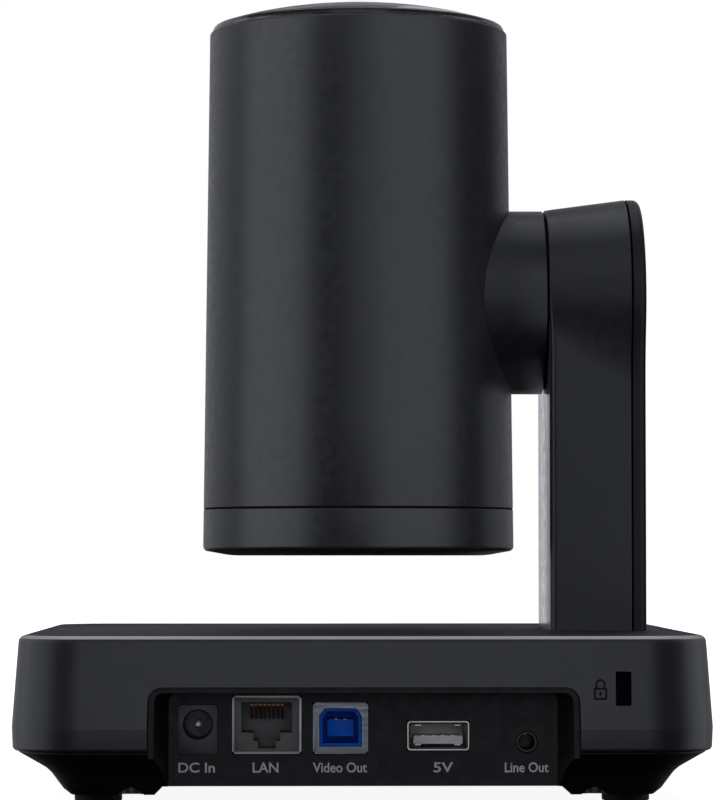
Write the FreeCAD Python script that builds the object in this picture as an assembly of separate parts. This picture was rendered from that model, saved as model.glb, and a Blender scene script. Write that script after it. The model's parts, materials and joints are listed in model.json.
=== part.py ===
import FreeCAD, Part
import math
import os
from FreeCAD import Vector as V

# PTZ conference camera.  Row frame: +Z up, -Y is the front (towards the room),
# +Y the rear with the sockets, origin on the table plane below the pan axis.
# The head is stored parked: optical axis straight up.  Millimetres.

# ---------------------------------------------------------------- dimensions
BASE_HX = 82.0          # half width of the base at its widest line
BASE_HY = 81.0           # half depth of the base at its widest line
CORNER_R = 17.0          # plan corner radius at the widest line
BASE_TOP = 39.2          # top face of the base and of the turntable
BASE_SEAM = 12.3         # parting line of housing and bottom cover
WIDEST_Z = 17.8          # height of the widest line
FLOOR_Z = 4.2            # underside of the centre channel
SKID_Z = 2.0             # underside of the two side skids
WALL = 2.2

PANEL_Y = 70.0           # face of the connector panel
RECESS_HX_OUT = 48.7     # recess half width at the rear face
RECESS_HX_IN = 45.2      # recess half width at the panel
RECESS_TOP = 26.2
PCB_TOP = 11.7
PCB_T = 1.6

TURN_R = 74.7            # turntable radius
TURN_T = 3.0

TILT_Z = 121.6           # height of the tilt axis
HEAD_TOP = 189.6         # rim of the barrel, lens end
HEAD_BOT = 57.7          # rear end of the head
HEAD_SEAM = 69.4
HEAD_R_TOP = 37.58
HEAD_R_BOT = 39.13
HUB_R = 23.15
HUB_END = 46.4           # distance of the hub's end face from the pan axis

ARM_IN = 46.9            # inner face of the arm (distance from the pan axis)
ARM_SEAM = 67.0
ARM_OUT = 70.7
ARM_R_IN = 23.35          # boss radius at the inner face
ARM_R_OUT = 26.0         # half depth at the seam
ARM_POST = 22.8          # half depth of the straight post

PAN_M, PAN_Z1, PAN_Z2 = 1.0, 78, 16        # turntable gear, motor pinion
TILT_M, TILT_Z1, TILT_Z2 = 0.8, 54, 19     # head gear, motor pinion
PAN_A = PAN_M * (PAN_Z1 + PAN_Z2) / 2.0
TILT_A = TILT_M * (TILT_Z1 + TILT_Z2) / 2.0

# connector centres: x, z of the centre, width, height
DC = (38.4, 17.5, 9.0, 11.0)
RJ = (22.4, 18.45, 16.0, 13.4)
UB = (5.3, 18.1, 12.8, 11.0)
UA = (-17.4, 15.9, 14.4, 6.8)
AU = (-38.0, 14.4)
SCREWS = (54.0, 66.0)     # base screws, mirrored to the four corners
FEET = (62.2, 56.0, 5.6)  # rubber feet: x, y, radius
LOCK = (-59.7, 27.1, 3.64, 7.9)

os.makedirs("parts", exist_ok=True)
MADE = {}


# ---------------------------------------------------------------- helpers
def cyl(r, h, p, d=(0, 0, 1)):
    return Part.makeCylinder(r, h, V(*p), V(*d))


def box(x0, x1, y0, y1, z0, z1):
    return Part.makeBox(x1 - x0, y1 - y0, z1 - z0, V(x0, y0, z0))


def fuse(first, *rest):
    out = first.fuse(list(rest)) if rest else first
    return out.removeSplitter()


def cut(a, *bs):
    return a.cut(list(bs))


def edges2d(pts, m):
    """Closed polygon with an optional fillet radius per vertex, mapped by m(u, v)."""
    n = len(pts)
    nodes = []
    for i in range(n):
        p = pts[i]
        r = p[2] if len(p) > 2 else 0.0
        if not r:
            nodes.append((p[:2], None, p[:2]))
            continue
        a, b = pts[i - 1], pts[(i + 1) % n]
        ux, uy = a[0] - p[0], a[1] - p[1]
        vx, vy = b[0] - p[0], b[1] - p[1]
        lu, lv = math.hypot(ux, uy), math.hypot(vx, vy)
        ux, uy, vx, vy = ux / lu, uy / lu, vx / lv, vy / lv
        th = math.acos(max(-1, min(1, ux * vx + uy * vy)))
        t = r / math.tan(th / 2)
        bx, by = ux + vx, uy + vy
        lb = math.hypot(bx, by)
        d = r / math.sin(th / 2) - r
        nodes.append(((p[0] + ux * t, p[1] + uy * t),
                      (p[0] + bx / lb * d, p[1] + by / lb * d),
                      (p[0] + vx * t, p[1] + vy * t)))
    out = []
    for i in range(n):
        s, mid, e = nodes[i]
        if mid is not None:
            out.append(Part.Arc(m(*s), m(*mid), m(*e)).toShape())
        nxt = nodes[(i + 1) % n][0]
        if math.hypot(nxt[0] - e[0], nxt[1] - e[1]) > 1e-7:
            out.append(Part.LineSegment(m(*e), m(*nxt)).toShape())
    return out


def wire2d(pts, m):
    return Part.Wire(Part.__sortEdges__(edges2d(pts, m)))


def face2d(pts, m):
    return Part.Face(wire2d(pts, m))


def revz(pts, cx=0.0, cy=0.0, ang=360):
    f = face2d(pts, lambda r, z: V(cx + r, cy, z))
    return f.revolve(V(cx, cy, 0), V(0, 0, 1), ang)


def revx(pts, z0, y0=0.0):
    """Revolve (distance from the pan axis, radius) about the line y=y0, z=z0, along -X."""
    f = face2d(pts, lambda u, r: V(-u, y0, z0 + r))
    return f.revolve(V(0, y0, z0), V(1, 0, 0), 360)


def pad(pts, a0, b0):
    """Rounded rectangular body: half profile (r, z) carried round a rectangle a0 x b0."""
    zs = [p[1] for p in pts if abs(p[0]) < 1e-9]
    parts = []
    for sx in (-1, 1):
        for sy in (-1, 1):
            parts.append(revz(pts, sx * a0, sy * b0))
    for s in (-1, 1):
        f = face2d(pts, lambda r, z: V(-a0, s * (b0 + r), z))
        parts.append(f.extrude(V(2 * a0, 0, 0)))
        f = face2d(pts, lambda r, z: V(s * (a0 + r), -b0, z))
        parts.append(f.extrude(V(0, 2 * b0, 0)))
    core = box(-a0, a0, -b0, b0, min(zs), max(zs))
    return fuse(core, *parts)


def rrect(x0, x1, z0, z1, r, y0, y1):
    f = face2d([(x0, z0, r), (x1, z0, r), (x1, z1, r), (x0, z1, r)], lambda a, b: V(a, y0, b))
    return f.extrude(V(0, y1 - y0, 0))


def rrectz(x0, x1, y0, y1, r, z0, z1):
    f = face2d([(x0, y0, r), (x1, y0, r), (x1, y1, r), (x0, y1, r)], lambda a, b: V(a, b, z0))
    return f.extrude(V(0, 0, z1 - z0))


def stadium(u, r, zb, p):
    """Arm section at distance u: a round top of radius r about the tilt axis, eased by a hollow
    fillet into a straight post of half depth p that runs down to zb."""
    q = 50.0
    h = math.sqrt((r - p) * (r + p + 2 * q))
    a = math.asin(h / (r + q))

    def m(y, z):
        return V(-u, y, TILT_Z + z)
    e = [Part.Arc(m(r * math.cos(a), -r * math.sin(a)), m(0, r), m(-r * math.cos(a), -r * math.sin(a))).toShape()]
    zl = zb - TILT_Z
    for s in (-1, 1):
        mid = (s * (p + q - q * math.cos(a / 2)), -h + q * math.sin(a / 2))
        e.append(Part.Arc(m(s * r * math.cos(a), -r * math.sin(a)), m(*mid), m(s * p, -h)).toShape())
        e.append(Part.LineSegment(m(s * p, -h), m(s * p, zl)).toShape())
    e.append(Part.LineSegment(m(-p, zl), m(p, zl)).toShape())
    return Part.Wire(Part.__sortEdges__(e))


def gear(m, z, width, bore, add=0.9, ded=1.25, slack=0.05, phase=0.0, flank=4):
    """Involute spur gear with flat facets, axis +Z, bottom at z=0, a tooth centred on +X at phase 0."""
    rp, al = m * z / 2.0, math.radians(20)
    rb, ra, rf = rp * math.cos(al), rp + add * m, rp - ded * m
    inv = lambda r: math.tan(math.acos(rb / r)) - math.acos(rb / r)
    half = math.pi / (2 * z) - slack * m / rp
    r0 = max(rb, rf)
    pts = []
    for k in range(z):
        c = phase + 2 * math.pi * k / z
        rs = [r0 + (ra - r0) * (i / flank) for i in range(flank + 1)]
        left = [(r, half + inv(rp) - inv(r)) for r in rs]
        if rf < rb:
            left = [(rf, left[0][1])] + left
        pts += [(r * math.cos(c - a), r * math.sin(c - a)) for r, a in left]
        pts += [(r * math.cos(c + a), r * math.sin(c + a)) for r, a in reversed(left)]
    w = Part.makePolygon([V(x, y, 0) for x, y in pts] + [V(pts[0][0], pts[0][1], 0)])
    body = Part.Face(w).extrude(V(0, 0, width))
    return body.cut(cyl(bore, width + 2, (0, 0, -1)))


def to_x(shape, u, z0, y0=0.0):
    """Turn a +Z part so that its axis runs along -X, with its z=0 at distance u."""
    s = shape.copy()
    s.rotate(V(0, 0, 0), V(0, 1, 0), -90)
    s.translate(V(-u, y0, z0))
    return s


def screw(p, d, r, length, head_r, head_h):
    """Pan head machine screw: p is the underside of the head, d points along the shank."""
    d = V(*d)
    d.normalize()
    p = V(*p)
    body = Part.makeCylinder(r, length, p, d)
    head = Part.makeCylinder(head_r, head_h, p - d * head_h, d)
    s = body.fuse(head)
    slot = Part.makeCylinder(head_r * 0.45, head_h * 0.55, p - d * (head_h + 0.01), d)
    return s.cut(slot).removeSplitter()


def save(name, *shapes):
    solids = []
    for s in shapes:
        solids += s.Solids
    bad = [i for i, s in enumerate(solids) if not s.isValid() or s.Volume <= 0]
    comp = solids[0] if len(solids) == 1 else Part.makeCompound(solids)
    comp.exportStep("parts/%s.step" % name)
    MADE[name] = comp
    bb = comp.BoundBox
    print("%-24s n=%-3d vol=%9.1f  x %.1f..%.1f y %.1f..%.1f z %.1f..%.1f %s" % (
        name, len(solids), sum(s.Volume for s in solids), bb.XMin, bb.XMax, bb.YMin, bb.YMax,
        bb.ZMin, bb.ZMax, "BAD %s" % bad if bad else ""))


# ================================================================ base
A0, B0 = BASE_HX - CORNER_R, BASE_HY - CORNER_R
R_TOP = CORNER_R - 1.6
outer_prof = [(0, BASE_SEAM), (16.75, BASE_SEAM, 1.2), (17.0, WIDEST_Z), (R_TOP, BASE_TOP, 1.8), (0, BASE_TOP)]
housing_outer = pad(outer_prof, A0, B0)
inner_prof = [(0, BASE_SEAM - 1), (14.4, BASE_SEAM - 1), (14.8, WIDEST_Z), (13.6, 33.6), (0, 33.6)]
housing_inner = pad(inner_prof, A0, B0)


def recess(extra, y_in, y_out, zb=-2.0, dz=0.0):
    """Tapered connector recess; extra grows it for the wall of the tray."""
    def w(y, hx, top):
        return wire2d([(-hx, zb), (hx, zb), (hx, top, 2.0 + extra), (-hx, top, 2.0 + extra)], lambda a, b: V(a, y, b))
    k = (RECESS_HX_OUT - RECESS_HX_IN) / (81.5 - PANEL_Y)
    h0 = RECESS_HX_IN + k * (y_in - PANEL_Y) + extra
    h1 = RECESS_HX_IN + k * (y_out - PANEL_Y) + extra
    t0 = 25.7 + 0.5 * (y_in - PANEL_Y) / 11.5 + extra + dz
    t1 = 25.7 + 0.5 * (y_out - PANEL_Y) / 11.5 + extra + dz
    return Part.makeLoft([w(y_in, h0, t0), w(y_out, h1, t1)], True, True)


tray_hole = recess(1.4, 66.0, 90.0)
lock_boss = box(LOCK[0] - 9, LOCK[0] + 9, 77.8, 81.0, 17.0, 33.8).common(housing_outer)
lock_slot = rrect(LOCK[0] - LOCK[2] / 2, LOCK[0] + LOCK[2] / 2, LOCK[1] - LOCK[3] / 2, LOCK[1] + LOCK[3] / 2, 0.4, 70, 90)
win = (-19.0, 19.0, 21.0, 30.0)
led = (-8.0, 8.0, 14.4, 16.2)
housing = cut(housing_outer, housing_inner, cyl(69.0, 20, (0, 0, 30)), cyl(TURN_R + 0.5, 20, (0, 0, 35.6)))
bosses = []
for sx in (-1, 1):
    for sy in (-1, 1):
        bosses.append(cut(cyl(3.6, 24.2, (sx * SCREWS[0], sy * SCREWS[1], 9.8)), cyl(1.25, 12, (sx * SCREWS[0], sy * SCREWS[1], 9.0))))
housing = fuse(housing, lock_boss)
housing = cut(housing, tray_hole, lock_slot,
              rrect(win[0] - .1, win[1] + .1, win[2] - .1, win[3] + .1, 2.1, -95, -70),
              rrect(led[0] - .1, led[1] + .1, led[2] - .1, led[3] + .1, 0.9, -95, -70))
housing = fuse(housing, *bosses)
housing = max(housing.Solids, key=lambda s: s.Volume)
save("base_housing", housing)

cover_prof = [(0, SKID_Z), (3.0, SKID_Z, 0.5), (4.9, 3.5, 1.5), (8.3, 8.0, 8.0), (15.3, 12.0), (15.3, BASE_SEAM - 0.05), (0, BASE_SEAM - 0.05)]
cover = pad(cover_prof, A0, B0)
cover_in = pad([(0, 5.9), (2.0, 5.9), (6.4, 10.4), (10.8, 12.6), (10.8, 13.5), (0, 13.5)], A0, B0)
channel = face2d([(-48.6, -1), (48.6, -1), (48.6, SKID_Z), (46.5, FLOOR_Z), (-46.5, FLOOR_Z), (-48.6, SKID_Z)],
                 lambda a, b: V(a, -95, b)).extrude(V(0, 190, 0))
rear_notch = recess(1.55, 67.9, 95.0, zb=-2.0)
rear_notch = rear_notch.common(box(-60, 60, 60, 100, -2, 30))
bottom_holes = [cyl(6.05, 5, (0, 0, 2))]
for x in (-35, 35):
    for y in (-20, 20):
        bottom_holes.append(cyl(3.25, 5, (x, y, 2)))
CORNERS = [(sx, sy) for sx in (-1, 1) for sy in (-1, 1)]
for sx, sy in CORNERS:
    bottom_holes += [cyl(1.7, 12, (sx * SCREWS[0], sy * SCREWS[1], 0)), cyl(3.2, 4.0, (sx * SCREWS[0], sy * SCREWS[1], 0))]
    bottom_holes.append(cyl(2.55, 3.0, (sx * FEET[0], sy * FEET[1], 1.0)))
cover = cut(cover, cover_in, channel, rear_notch)
screw_posts = [cyl(4.4, 5.0, (sx * SCREWS[0], sy * SCREWS[1], 4.7)) for sx, sy in CORNERS]
PCB_POSTS = [(-54, -18), (54, -18), (-54, 54), (54, 54)]
board_posts = [cut(cyl(2.6, PCB_TOP - PCB_T - .02 - 5.5, (x, y, 5.5)), cyl(1.0, 5, (x, y, 7))) for x, y in PCB_POSTS]
cover = fuse(cover, *(screw_posts + board_posts))
cover = cut(cover, *bottom_holes, *[cyl(3.75, 3, (sx * SCREWS[0], sy * SCREWS[1], 9.7)) for sx, sy in CORNERS], rear_notch)
cover = max(cover.Solids, key=lambda s: s.Volume)
save("base_bottom_cover", cover)

feet = [fuse(revz([(0, 0), (FEET[2], 0, 0.35), (FEET[2], SKID_Z), (0, SKID_Z)], sx * FEET[0], sy * FEET[1]),
             cyl(2.45, 2.0, (sx * FEET[0], sy * FEET[1], SKID_Z - 0.1))) for sx, sy in CORNERS]
save("rubber_feet", *feet)
save("base_screws", *[screw((sx * SCREWS[0], sy * SCREWS[1], 3.98), (0, 0, 1), 1.2, 12.0, 2.9, 1.6) for sx, sy in CORNERS])

# connector tray, open to the rear and below
tray_env = cut(housing_outer, box(-95, 95, -95, 60, 0, 60))
tray_env = fuse(tray_env, box(-60, 60, 60, 81.2, -1, 14))
tray = recess(1.25, 68.2, 81.0, zb=FLOOR_Z).common(tray_env)
tray = tray.common(pad([(0, 0), (16.2, 0), (16.2, WIDEST_Z), (R_TOP - 0.5, BASE_TOP), (0, BASE_TOP)], A0, B0))
foot_cut = face2d([(60, -1), (90, -1), (90, 11.5), (81.0, 11.5), (75.0, 8.4), (71.0, FLOOR_Z), (60, FLOOR_Z)],
                  lambda y, z: V(-60, y, z)).extrude(V(120, 0, 0))
tray = cut(tray, recess(0.0, PANEL_Y, 95.0, zb=-3.0), foot_cut)
ports = [rrect(DC[0] - 4.6, DC[0] + 4.6, PCB_TOP - 0.1, DC[1] + 5.6, 0.3, 60, 75),
         rrect(RJ[0] - 8.1, RJ[0] + 8.1, PCB_TOP - 0.1, RJ[1] + 6.8, 0.2, 60, 75),
         rrect(UB[0] - 6.5, UB[0] + 6.5, PCB_TOP - 0.1, UB[1] + 5.6, 0.4, 60, 75),
         rrect(UA[0] - 7.3, UA[0] + 7.3, UA[1] - 3.5, UA[1] + 3.5, 0.3, 60, 75),
         cyl(2.6, 15, (AU[0], 60, AU[1]), (0, 1, 0))]
tray = cut(tray, *ports)
tray = max(tray.Solids, key=lambda s: s.Volume)
save("connector_tray", tray)

# DC inlet
dc = rrect(DC[0] - 4.5, DC[0] + 4.5, PCB_TOP + .02, DC[1] + 5.5, 0.4, 57.0, 70.6)
dc = cut(dc, cyl(3.15, 10.2, (DC[0], 60.6, 18.5), (0, 1, 0)))
dc = cut(dc, Part.makeCone(3.15, 3.75, 0.6, V(DC[0], 70.01, 18.5), V(0, 1, 0)))
save("dc_inlet_body", dc)
pin = fuse(cyl(1.0, 8.0, (DC[0], 60.62, 18.5), (0, 1, 0)), Part.makeCone(1.0, 0.45, 0.6, V(DC[0], 68.62, 18.5), V(0, 1, 0)))
save("dc_inlet_pin", pin)

# network jack: shield with a stepped mouth, plastic insert, eight contacts
rj_out = box(RJ[0] - 8.0, RJ[0] + 8.0, 54.6, 70.7, PCB_TOP + .02, RJ[1] + 6.7)
x, zt, zb = RJ[0], RJ[1] + 6.7, RJ[1] - 6.75
mouth = [(x - 5.9, zt - 1.9), (x - 5.9, zb + 4.9), (x - 3.1, zb + 4.9), (x - 3.1, zb + 3.0), (x - 2.0, zb + 3.0), (x - 2.0, zb + 1.2),
         (x + 2.0, zb + 1.2), (x + 2.0, zb + 3.0), (x + 3.1, zb + 3.0), (x + 3.1, zb + 4.9), (x + 5.9, zb + 4.9), (x + 5.9, zt - 1.9)]
mouth_cut = face2d(mouth, lambda a, b: V(a, 57.5, b)).extrude(V(0, 20, 0))
rj_shield = cut(rj_out, box(x - 7.7, x + 7.7, 54.9, 70.4, PCB_TOP - 1, RJ[1] + 6.4), mouth_cut)
save("network_jack_shield", max(rj_shield.Solids, key=lambda s: s.Volume))
rj_body = cut(box(x - 7.65, x + 7.65, 54.95, 70.35, PCB_TOP + .02, RJ[1] + 6.35), mouth_cut)
save("network_jack_insert", rj_body)
contacts = []
for i in range(8):
    cx = x - 3.57 + 1.02 * i
    f = face2d([(57.55, zt - 1.95), (69.0, zt - 1.95), (69.0, zt - 2.35), (60.0, zt - 5.6), (59.7, zt - 5.3), (67.0, zt - 2.35), (57.55, zt - 2.35)],
               lambda a, b: V(cx - 0.22, a, b))
    contacts.append(f.extrude(V(0.44, 0, 0)))
save("network_jack_contacts", *contacts)

# USB type B style jack
x, zc = UB[0], UB[1]
ub_in = face2d([(x - 4.9, zc - 4.7), (x + 4.9, zc - 4.7), (x + 4.9, zc + 2.4), (x + 3.6, zc + 4.1), (x - 3.6, zc + 4.1), (x - 4.9, zc + 2.4)],
               lambda a, b: V(a, 58.0, b)).extrude(V(0, 20, 0))
ub_shell = cut(rrect(x - 6.4, x + 6.4, PCB_TOP + .02, zc + 5.5, 0.5, 54.0, 70.8), ub_in)
save("usb_b_shell", ub_shell)
ub_lin = cut(face2d([(x - 4.85, zc - 4.65), (x + 4.85, zc - 4.65), (x + 4.85, zc + 2.38), (x + 3.58, zc + 4.05), (x - 3.58, zc + 4.05), (x - 4.85, zc + 2.38)],
                    lambda a, b: V(a, 58.02, b)).extrude(V(0, 11.9, 0)),
             face2d([(x - 4.2, zc - 4.1), (x + 4.2, zc - 4.1), (x + 4.2, zc + 2.0), (x + 3.1, zc + 3.5), (x - 3.1, zc + 3.5), (x - 4.2, zc + 2.0)],
                    lambda a, b: V(a, 60.0, b)).extrude(V(0, 12, 0)))
ub_tongue = fuse(ub_lin, rrect(x - 2.8, x + 2.8, zc - 1.9, zc + 1.3, 0.3, 59.5, 68.8))
save("usb_b_tongue", ub_tongue)

# USB type A jack with flared mouth
x, zc = UA[0], UA[1]


def ua_rect(y, hx, hz):
    return wire2d([(x - hx, zc - hz), (x + hx, zc - hz), (x + hx, zc + hz), (x - hx, zc + hz)], lambda a, b: V(a, y, b))


ua_out = fuse(Part.makeLoft([ua_rect(56.0, 6.7, 2.95), ua_rect(68.4, 6.7, 2.95)], True, True),
              Part.makeLoft([ua_rect(68.4, 6.7, 2.95), ua_rect(71.0, 7.2, 3.4)], True, True))
ua_in = fuse(Part.makeLoft([ua_rect(57.0, 6.35, 2.6), ua_rect(68.5, 6.35, 2.6)], True, True),
             Part.makeLoft([ua_rect(68.5, 6.35, 2.6), ua_rect(71.1, 6.9, 3.1)], True, True))
ua_legs = [box(x - 6.5, x - 6.0, 60, 66, PCB_TOP + .02, zc - 2.9), box(x + 6.0, x + 6.5, 60, 66, PCB_TOP + .02, zc - 2.9)]
save("usb_a_shell", fuse(cut(ua_out, ua_in), *ua_legs))
save("usb_a_tongue", fuse(rrect(x - 5.6, x + 5.6, zc - 1.9, zc - 0.1, 0.2, 57.02, 69.2), box(x - 6.3, x + 6.3, 57.02, 59.0, zc - 2.55, zc + 2.55)))

# 3.5 mm audio jack
au = fuse(box(AU[0] - 3.2, AU[0] + 3.2, 56.0, 68.1, PCB_TOP + .02, AU[1] + 2.7), cyl(2.5, 3.0, (AU[0], 68.0, AU[1]), (0, 1, 0)))
au = cut(au, cyl(1.8, 13.5, (AU[0], 57.5, AU[1]), (0, 1, 0)))
save("audio_jack", au)

# front windows
save("ir_window", housing_outer.common(rrect(win[0], win[1], win[2], win[3], 2.0, -95, -78.2)))
save("status_light_pipe", fuse(housing_outer.common(rrect(led[0], led[1], led[2], led[3], 0.85, -95, -78.2)),
                               box(-2, 2, -78.4, -72.0, led[2] + .1, led[3] - .1)))

# steel ballast plate with the threaded insert and four tapped holes
plate = rrectz(-60, 60, -60, 60, 8, 5.92, 7.9)
POSTS = [(-42, -60), (42, -60), (-42, 34), (42, 34)]
PLATE_POSTS = [(-42, -54), (42, -54), (-42, 34), (42, 34)]
holes = [cyl(6.05, 6, (0, 0, 4))] + [cyl(2.0, 6, (x, y, 4)) for x in (-35, 35) for y in (-20, 20)]
holes += [cyl(3.0, 6, (x, y, 4)) for x, y in PCB_POSTS]
plate = cut(plate, *holes)
save("ballast_plate", plate)
insert = cut(fuse(cyl(6.0, 3.74, (0, 0, FLOOR_Z)), cyl(8.5, 1.4, (0, 0, 7.92))), cyl(3.175, 6.0, (0, 0, FLOOR_Z - .5)))
save("tripod_insert", insert)

# main board
pcb = rrectz(-62, 62, -25, 66.5, 2, PCB_TOP - PCB_T, PCB_TOP)
pcb = cut(pcb, *[cyl(3.6, 5, (x, y, 8)) for x, y in PLATE_POSTS if y > 0], *[cyl(1.2, 5, (x, y, 8)) for x, y in PCB_POSTS],
          *[cyl(4.6, 5, (sx * SCREWS[0], SCREWS[1], 8)) for sx in (-1, 1)])
save("main_board", pcb)
chips = [rrectz(-16, 2, 10, 28, 0.3, PCB_TOP + .02, PCB_TOP + 1.6), rrectz(8, 20, 30, 42, 0.3, PCB_TOP + .02, PCB_TOP + 1.2),
         rrectz(-34, -22, 22, 30, 0.3, PCB_TOP + .02, PCB_TOP + 1.1), rrectz(-42, -30, -16, -8, 0.3, PCB_TOP + .02, PCB_TOP + 1.2),
         rrectz(26, 36, -6, 2, 0.3, PCB_TOP + .02, PCB_TOP + 1.2)]
chips += [cyl(4.0, 5.4, (-44 + 10 * i, 48, PCB_TOP + .02)) for i in range(3)]
save("main_board_parts", *chips)
# pan chassis: plate on four posts with the bearing cup
ch = rrectz(-48, 48, -66, 41, 6, 17.6, 19.6)
cup = cut(cyl(28.5, 9.0, (0, 0, 19.6)), cyl(26.0, 8, (0, 0, 21.6)))
ch = fuse(ch, cup, *[cyl(3.0, 17.7 - 7.92, (x, y, 7.92)) for x, y in PLATE_POSTS])
ch = cut(ch, cyl(24.9, 12, (0, 0, 16)), cyl(17.8, 10, (0, -PAN_A, 15)),
         *[cyl(1.2, 5, (s * 21.5, -PAN_A, 16)) for s in (-1, 1)],
         rrectz(-44, -32, -34, 16, 4, 16, 21), rrectz(32, 44, -34, 16, 4, 16, 21))
save("pan_chassis", ch)

# pan bearing 40 x 52 x 7
PB_Z, PB_R, PB_B = 25.1, 23.0, 1.75


def ring(r0, r1, z0, z1, pr, br, c=0.04):
    g = Part.makeTorus(pr, br + c, V(0, 0, (z0 + z1) / 2.0))
    return cut(cut(cyl(r1, z1 - z0, (0, 0, z0)), cyl(r0, z1 - z0 + 2, (0, 0, z0 - 1))), g)


save("pan_bearing_outer_ring", ring(24.05, 25.98, 21.62, 28.6, PB_R, PB_B))
save("pan_bearing_inner_ring", ring(20.02, 21.95, 21.62, 28.6, PB_R, PB_B))
balls = []
for k in range(18):
    a = 2 * math.pi * k / 18
    c = V(PB_R * math.cos(a), PB_R * math.sin(a), 25.11)
    balls.append(Part.makeSphere(PB_B, c))
save("pan_bearing_balls", *balls)

# pan motor and pinion
pm = fuse(cyl(17.5, 15.0, (0, -PAN_A, 13.0)), rrectz(-24.5, 24.5, -PAN_A - 4.5, -PAN_A + 4.5, 3.5, 19.62, 21.0))
pm = cut(pm, cyl(2.05, 20, (0, -PAN_A, 11)), *[cyl(1.3, 5, (s * 21.5, -PAN_A, 18)) for s in (-1, 1)])
save("pan_motor", pm)
pp = gear(PAN_M, PAN_Z2, 4.0, 0.5, phase=math.pi / 2 + math.pi / PAN_Z2)
pp.translate(V(0, -PAN_A, 29.2))
pp = fuse(pp, cyl(2.0, 19.0, (0, -PAN_A, 14.5)))
save("pan_pinion", pp)

# ================================================================ pan platform
turn = revz([(0, BASE_TOP - TURN_T), (66.0, BASE_TOP - TURN_T), (66.0, 32.2), (68.2, 32.2), (68.2, BASE_TOP - TURN_T), (TURN_R, BASE_TOP - TURN_T),
             (TURN_R, BASE_TOP, 0.5), (0, BASE_TOP)])
turn = cut(turn, rrectz(-62, -51, -9, 9, 2, 30, 45), *[cyl(1.6, 10, (-57.0, y, 32)) for y in (-17, 17)],
           *[cyl(1.3, 2.2, (25 * math.cos(a), 25 * math.sin(a), 36.0)) for a in (math.pi / 4 + math.pi / 2 * k for k in range(4))])
save("turntable", turn)
shaft = revz([(15.0, 19.7), (19.98, 19.7), (19.98, 33.2), (30.0, 33.2), (30.0, 36.18), (15.0, 36.18)])
shaft = cut(shaft, *[cyl(1.6, 10, (25 * math.cos(a), 25 * math.sin(a), 30)) for a in (math.pi / 4 + math.pi / 2 * k for k in range(4))])
shaft = cut(shaft, cut(cyl(22, 1.1, (0, 0, 20.3)), cyl(19.2, 3, (0, 0, 20))))
save("pan_shaft", shaft)
clip = cut(cut(cyl(22.4, 1.0, (0, 0, 20.35)), cyl(19.25, 3, (0, 0, 20))), box(-2.5, 2.5, 10, 30, 19, 23))
save("pan_retaining_clip", clip)
pg = gear(PAN_M, PAN_Z1, 4.0, 20.0, phase=-math.pi / 2)
pg.translate(V(0, 0, 29.18))
pg = cut(pg, *[cyl(4.2, 8, (32 * math.cos(math.radians(22.5 + 45 * k)), 32 * math.sin(math.radians(22.5 + 45 * k)), 28)) for k in range(8)],
         *[cyl(2.9, 8, (25 * math.cos(math.pi / 4 + math.pi / 2 * k), 25 * math.sin(math.pi / 4 + math.pi / 2 * k), 28)) for k in range(4)])
save("pan_gear", pg)
save("turntable_screws", *[screw((25 * math.cos(a), 25 * math.sin(a), 33.2), (0, 0, 1), 1.25, 4.6, 2.6, 1.8) for a in
                           (math.pi / 4 + math.pi / 2 * k for k in range(4))])

# arm: tapered shell, round top about the tilt axis
ARM_B = BASE_TOP + 0.02
arm = Part.makeLoft([stadium(ARM_IN, ARM_R_IN, ARM_B, ARM_POST), stadium(ARM_SEAM, ARM_R_OUT, ARM_B, ARM_POST)], True, True)
arm_cav = Part.makeLoft([stadium(ARM_IN + 2.0, ARM_R_IN - 1.9, ARM_B + 2.4, ARM_POST - 1.8), stadium(ARM_SEAM + 1, ARM_R_OUT - 1.75, ARM_B + 2.4, ARM_POST - 1.8)], True, True)
arm = cut(arm, arm_cav)
nose = cyl(14.0, 12.2, (-ARM_IN - 1.2, 0, TILT_Z), (-1, 0, 0))
arm = fuse(arm, nose)
MZ = TILT_Z - TILT_A
arm = cut(arm, cyl(12.0, 30, (-49.4, 0, TILT_Z), (-1, 0, 0)), cyl(8.2, 20, (-40, 0, TILT_Z), (-1, 0, 0)),
          rrectz(-62, -51, -9, 9, 2, 30, 45), *[cyl(1.25, 10, (-57.0, y, 35)) for y in (-17, 17)])
abosses = [cut(cyl(3.0, 9.0, (-ARM_IN - 1.5, y, z), (-1, 0, 0)), cyl(1.1, 8, (-51.0, y, z), (-1, 0, 0))) for y in (-17.5, 17.5) for z in (62.0, 98.0)]
arm = fuse(arm, *abosses)
arm = max(arm.Solids, key=lambda s: s.Volume)
save("arm_frame", arm)

ocov = Part.Face(stadium(ARM_SEAM + 0.4, ARM_R_OUT - 0.02, ARM_B, ARM_POST - 0.02)).extrude(V(-(ARM_OUT - ARM_SEAM - 0.4), 0, 0))
sel = []
for e in ocov.Edges:
    bb = e.BoundBox
    if abs(bb.XMin + ARM_OUT) < 1e-3 and abs(bb.XMax + ARM_OUT) < 1e-3 and bb.ZMax > ARM_B + 1:
        sel.append(e)
ocov = ocov.makeFillet(1.5, sel)
lip = Part.Face(stadium(ARM_SEAM - 1.0, ARM_R_OUT - 2.4, ARM_B + 2.8, ARM_POST - 2.2)).extrude(V(-1.8, 0, 0))
ocov = fuse(ocov, lip)
ocov = cut(ocov, Part.Face(stadium(ARM_SEAM - 2.0, ARM_R_OUT - 3.1, ARM_B + 3.8, ARM_POST - 3.0)).extrude(V(-3.9, 0, 0)))
obosses = [cyl(2.8, 68.4 - 57.5, (-57.5, y, z), (-1, 0, 0)) for y in (-17.5, 17.5) for z in (62.0, 98.0)]
ocov = fuse(ocov, *obosses)
ocov = cut(ocov, *[cyl(1.1, 6, (-57.4, y, z), (-1, 0, 0)) for y in (-17.5, 17.5) for z in (62.0, 98.0)])
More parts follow.
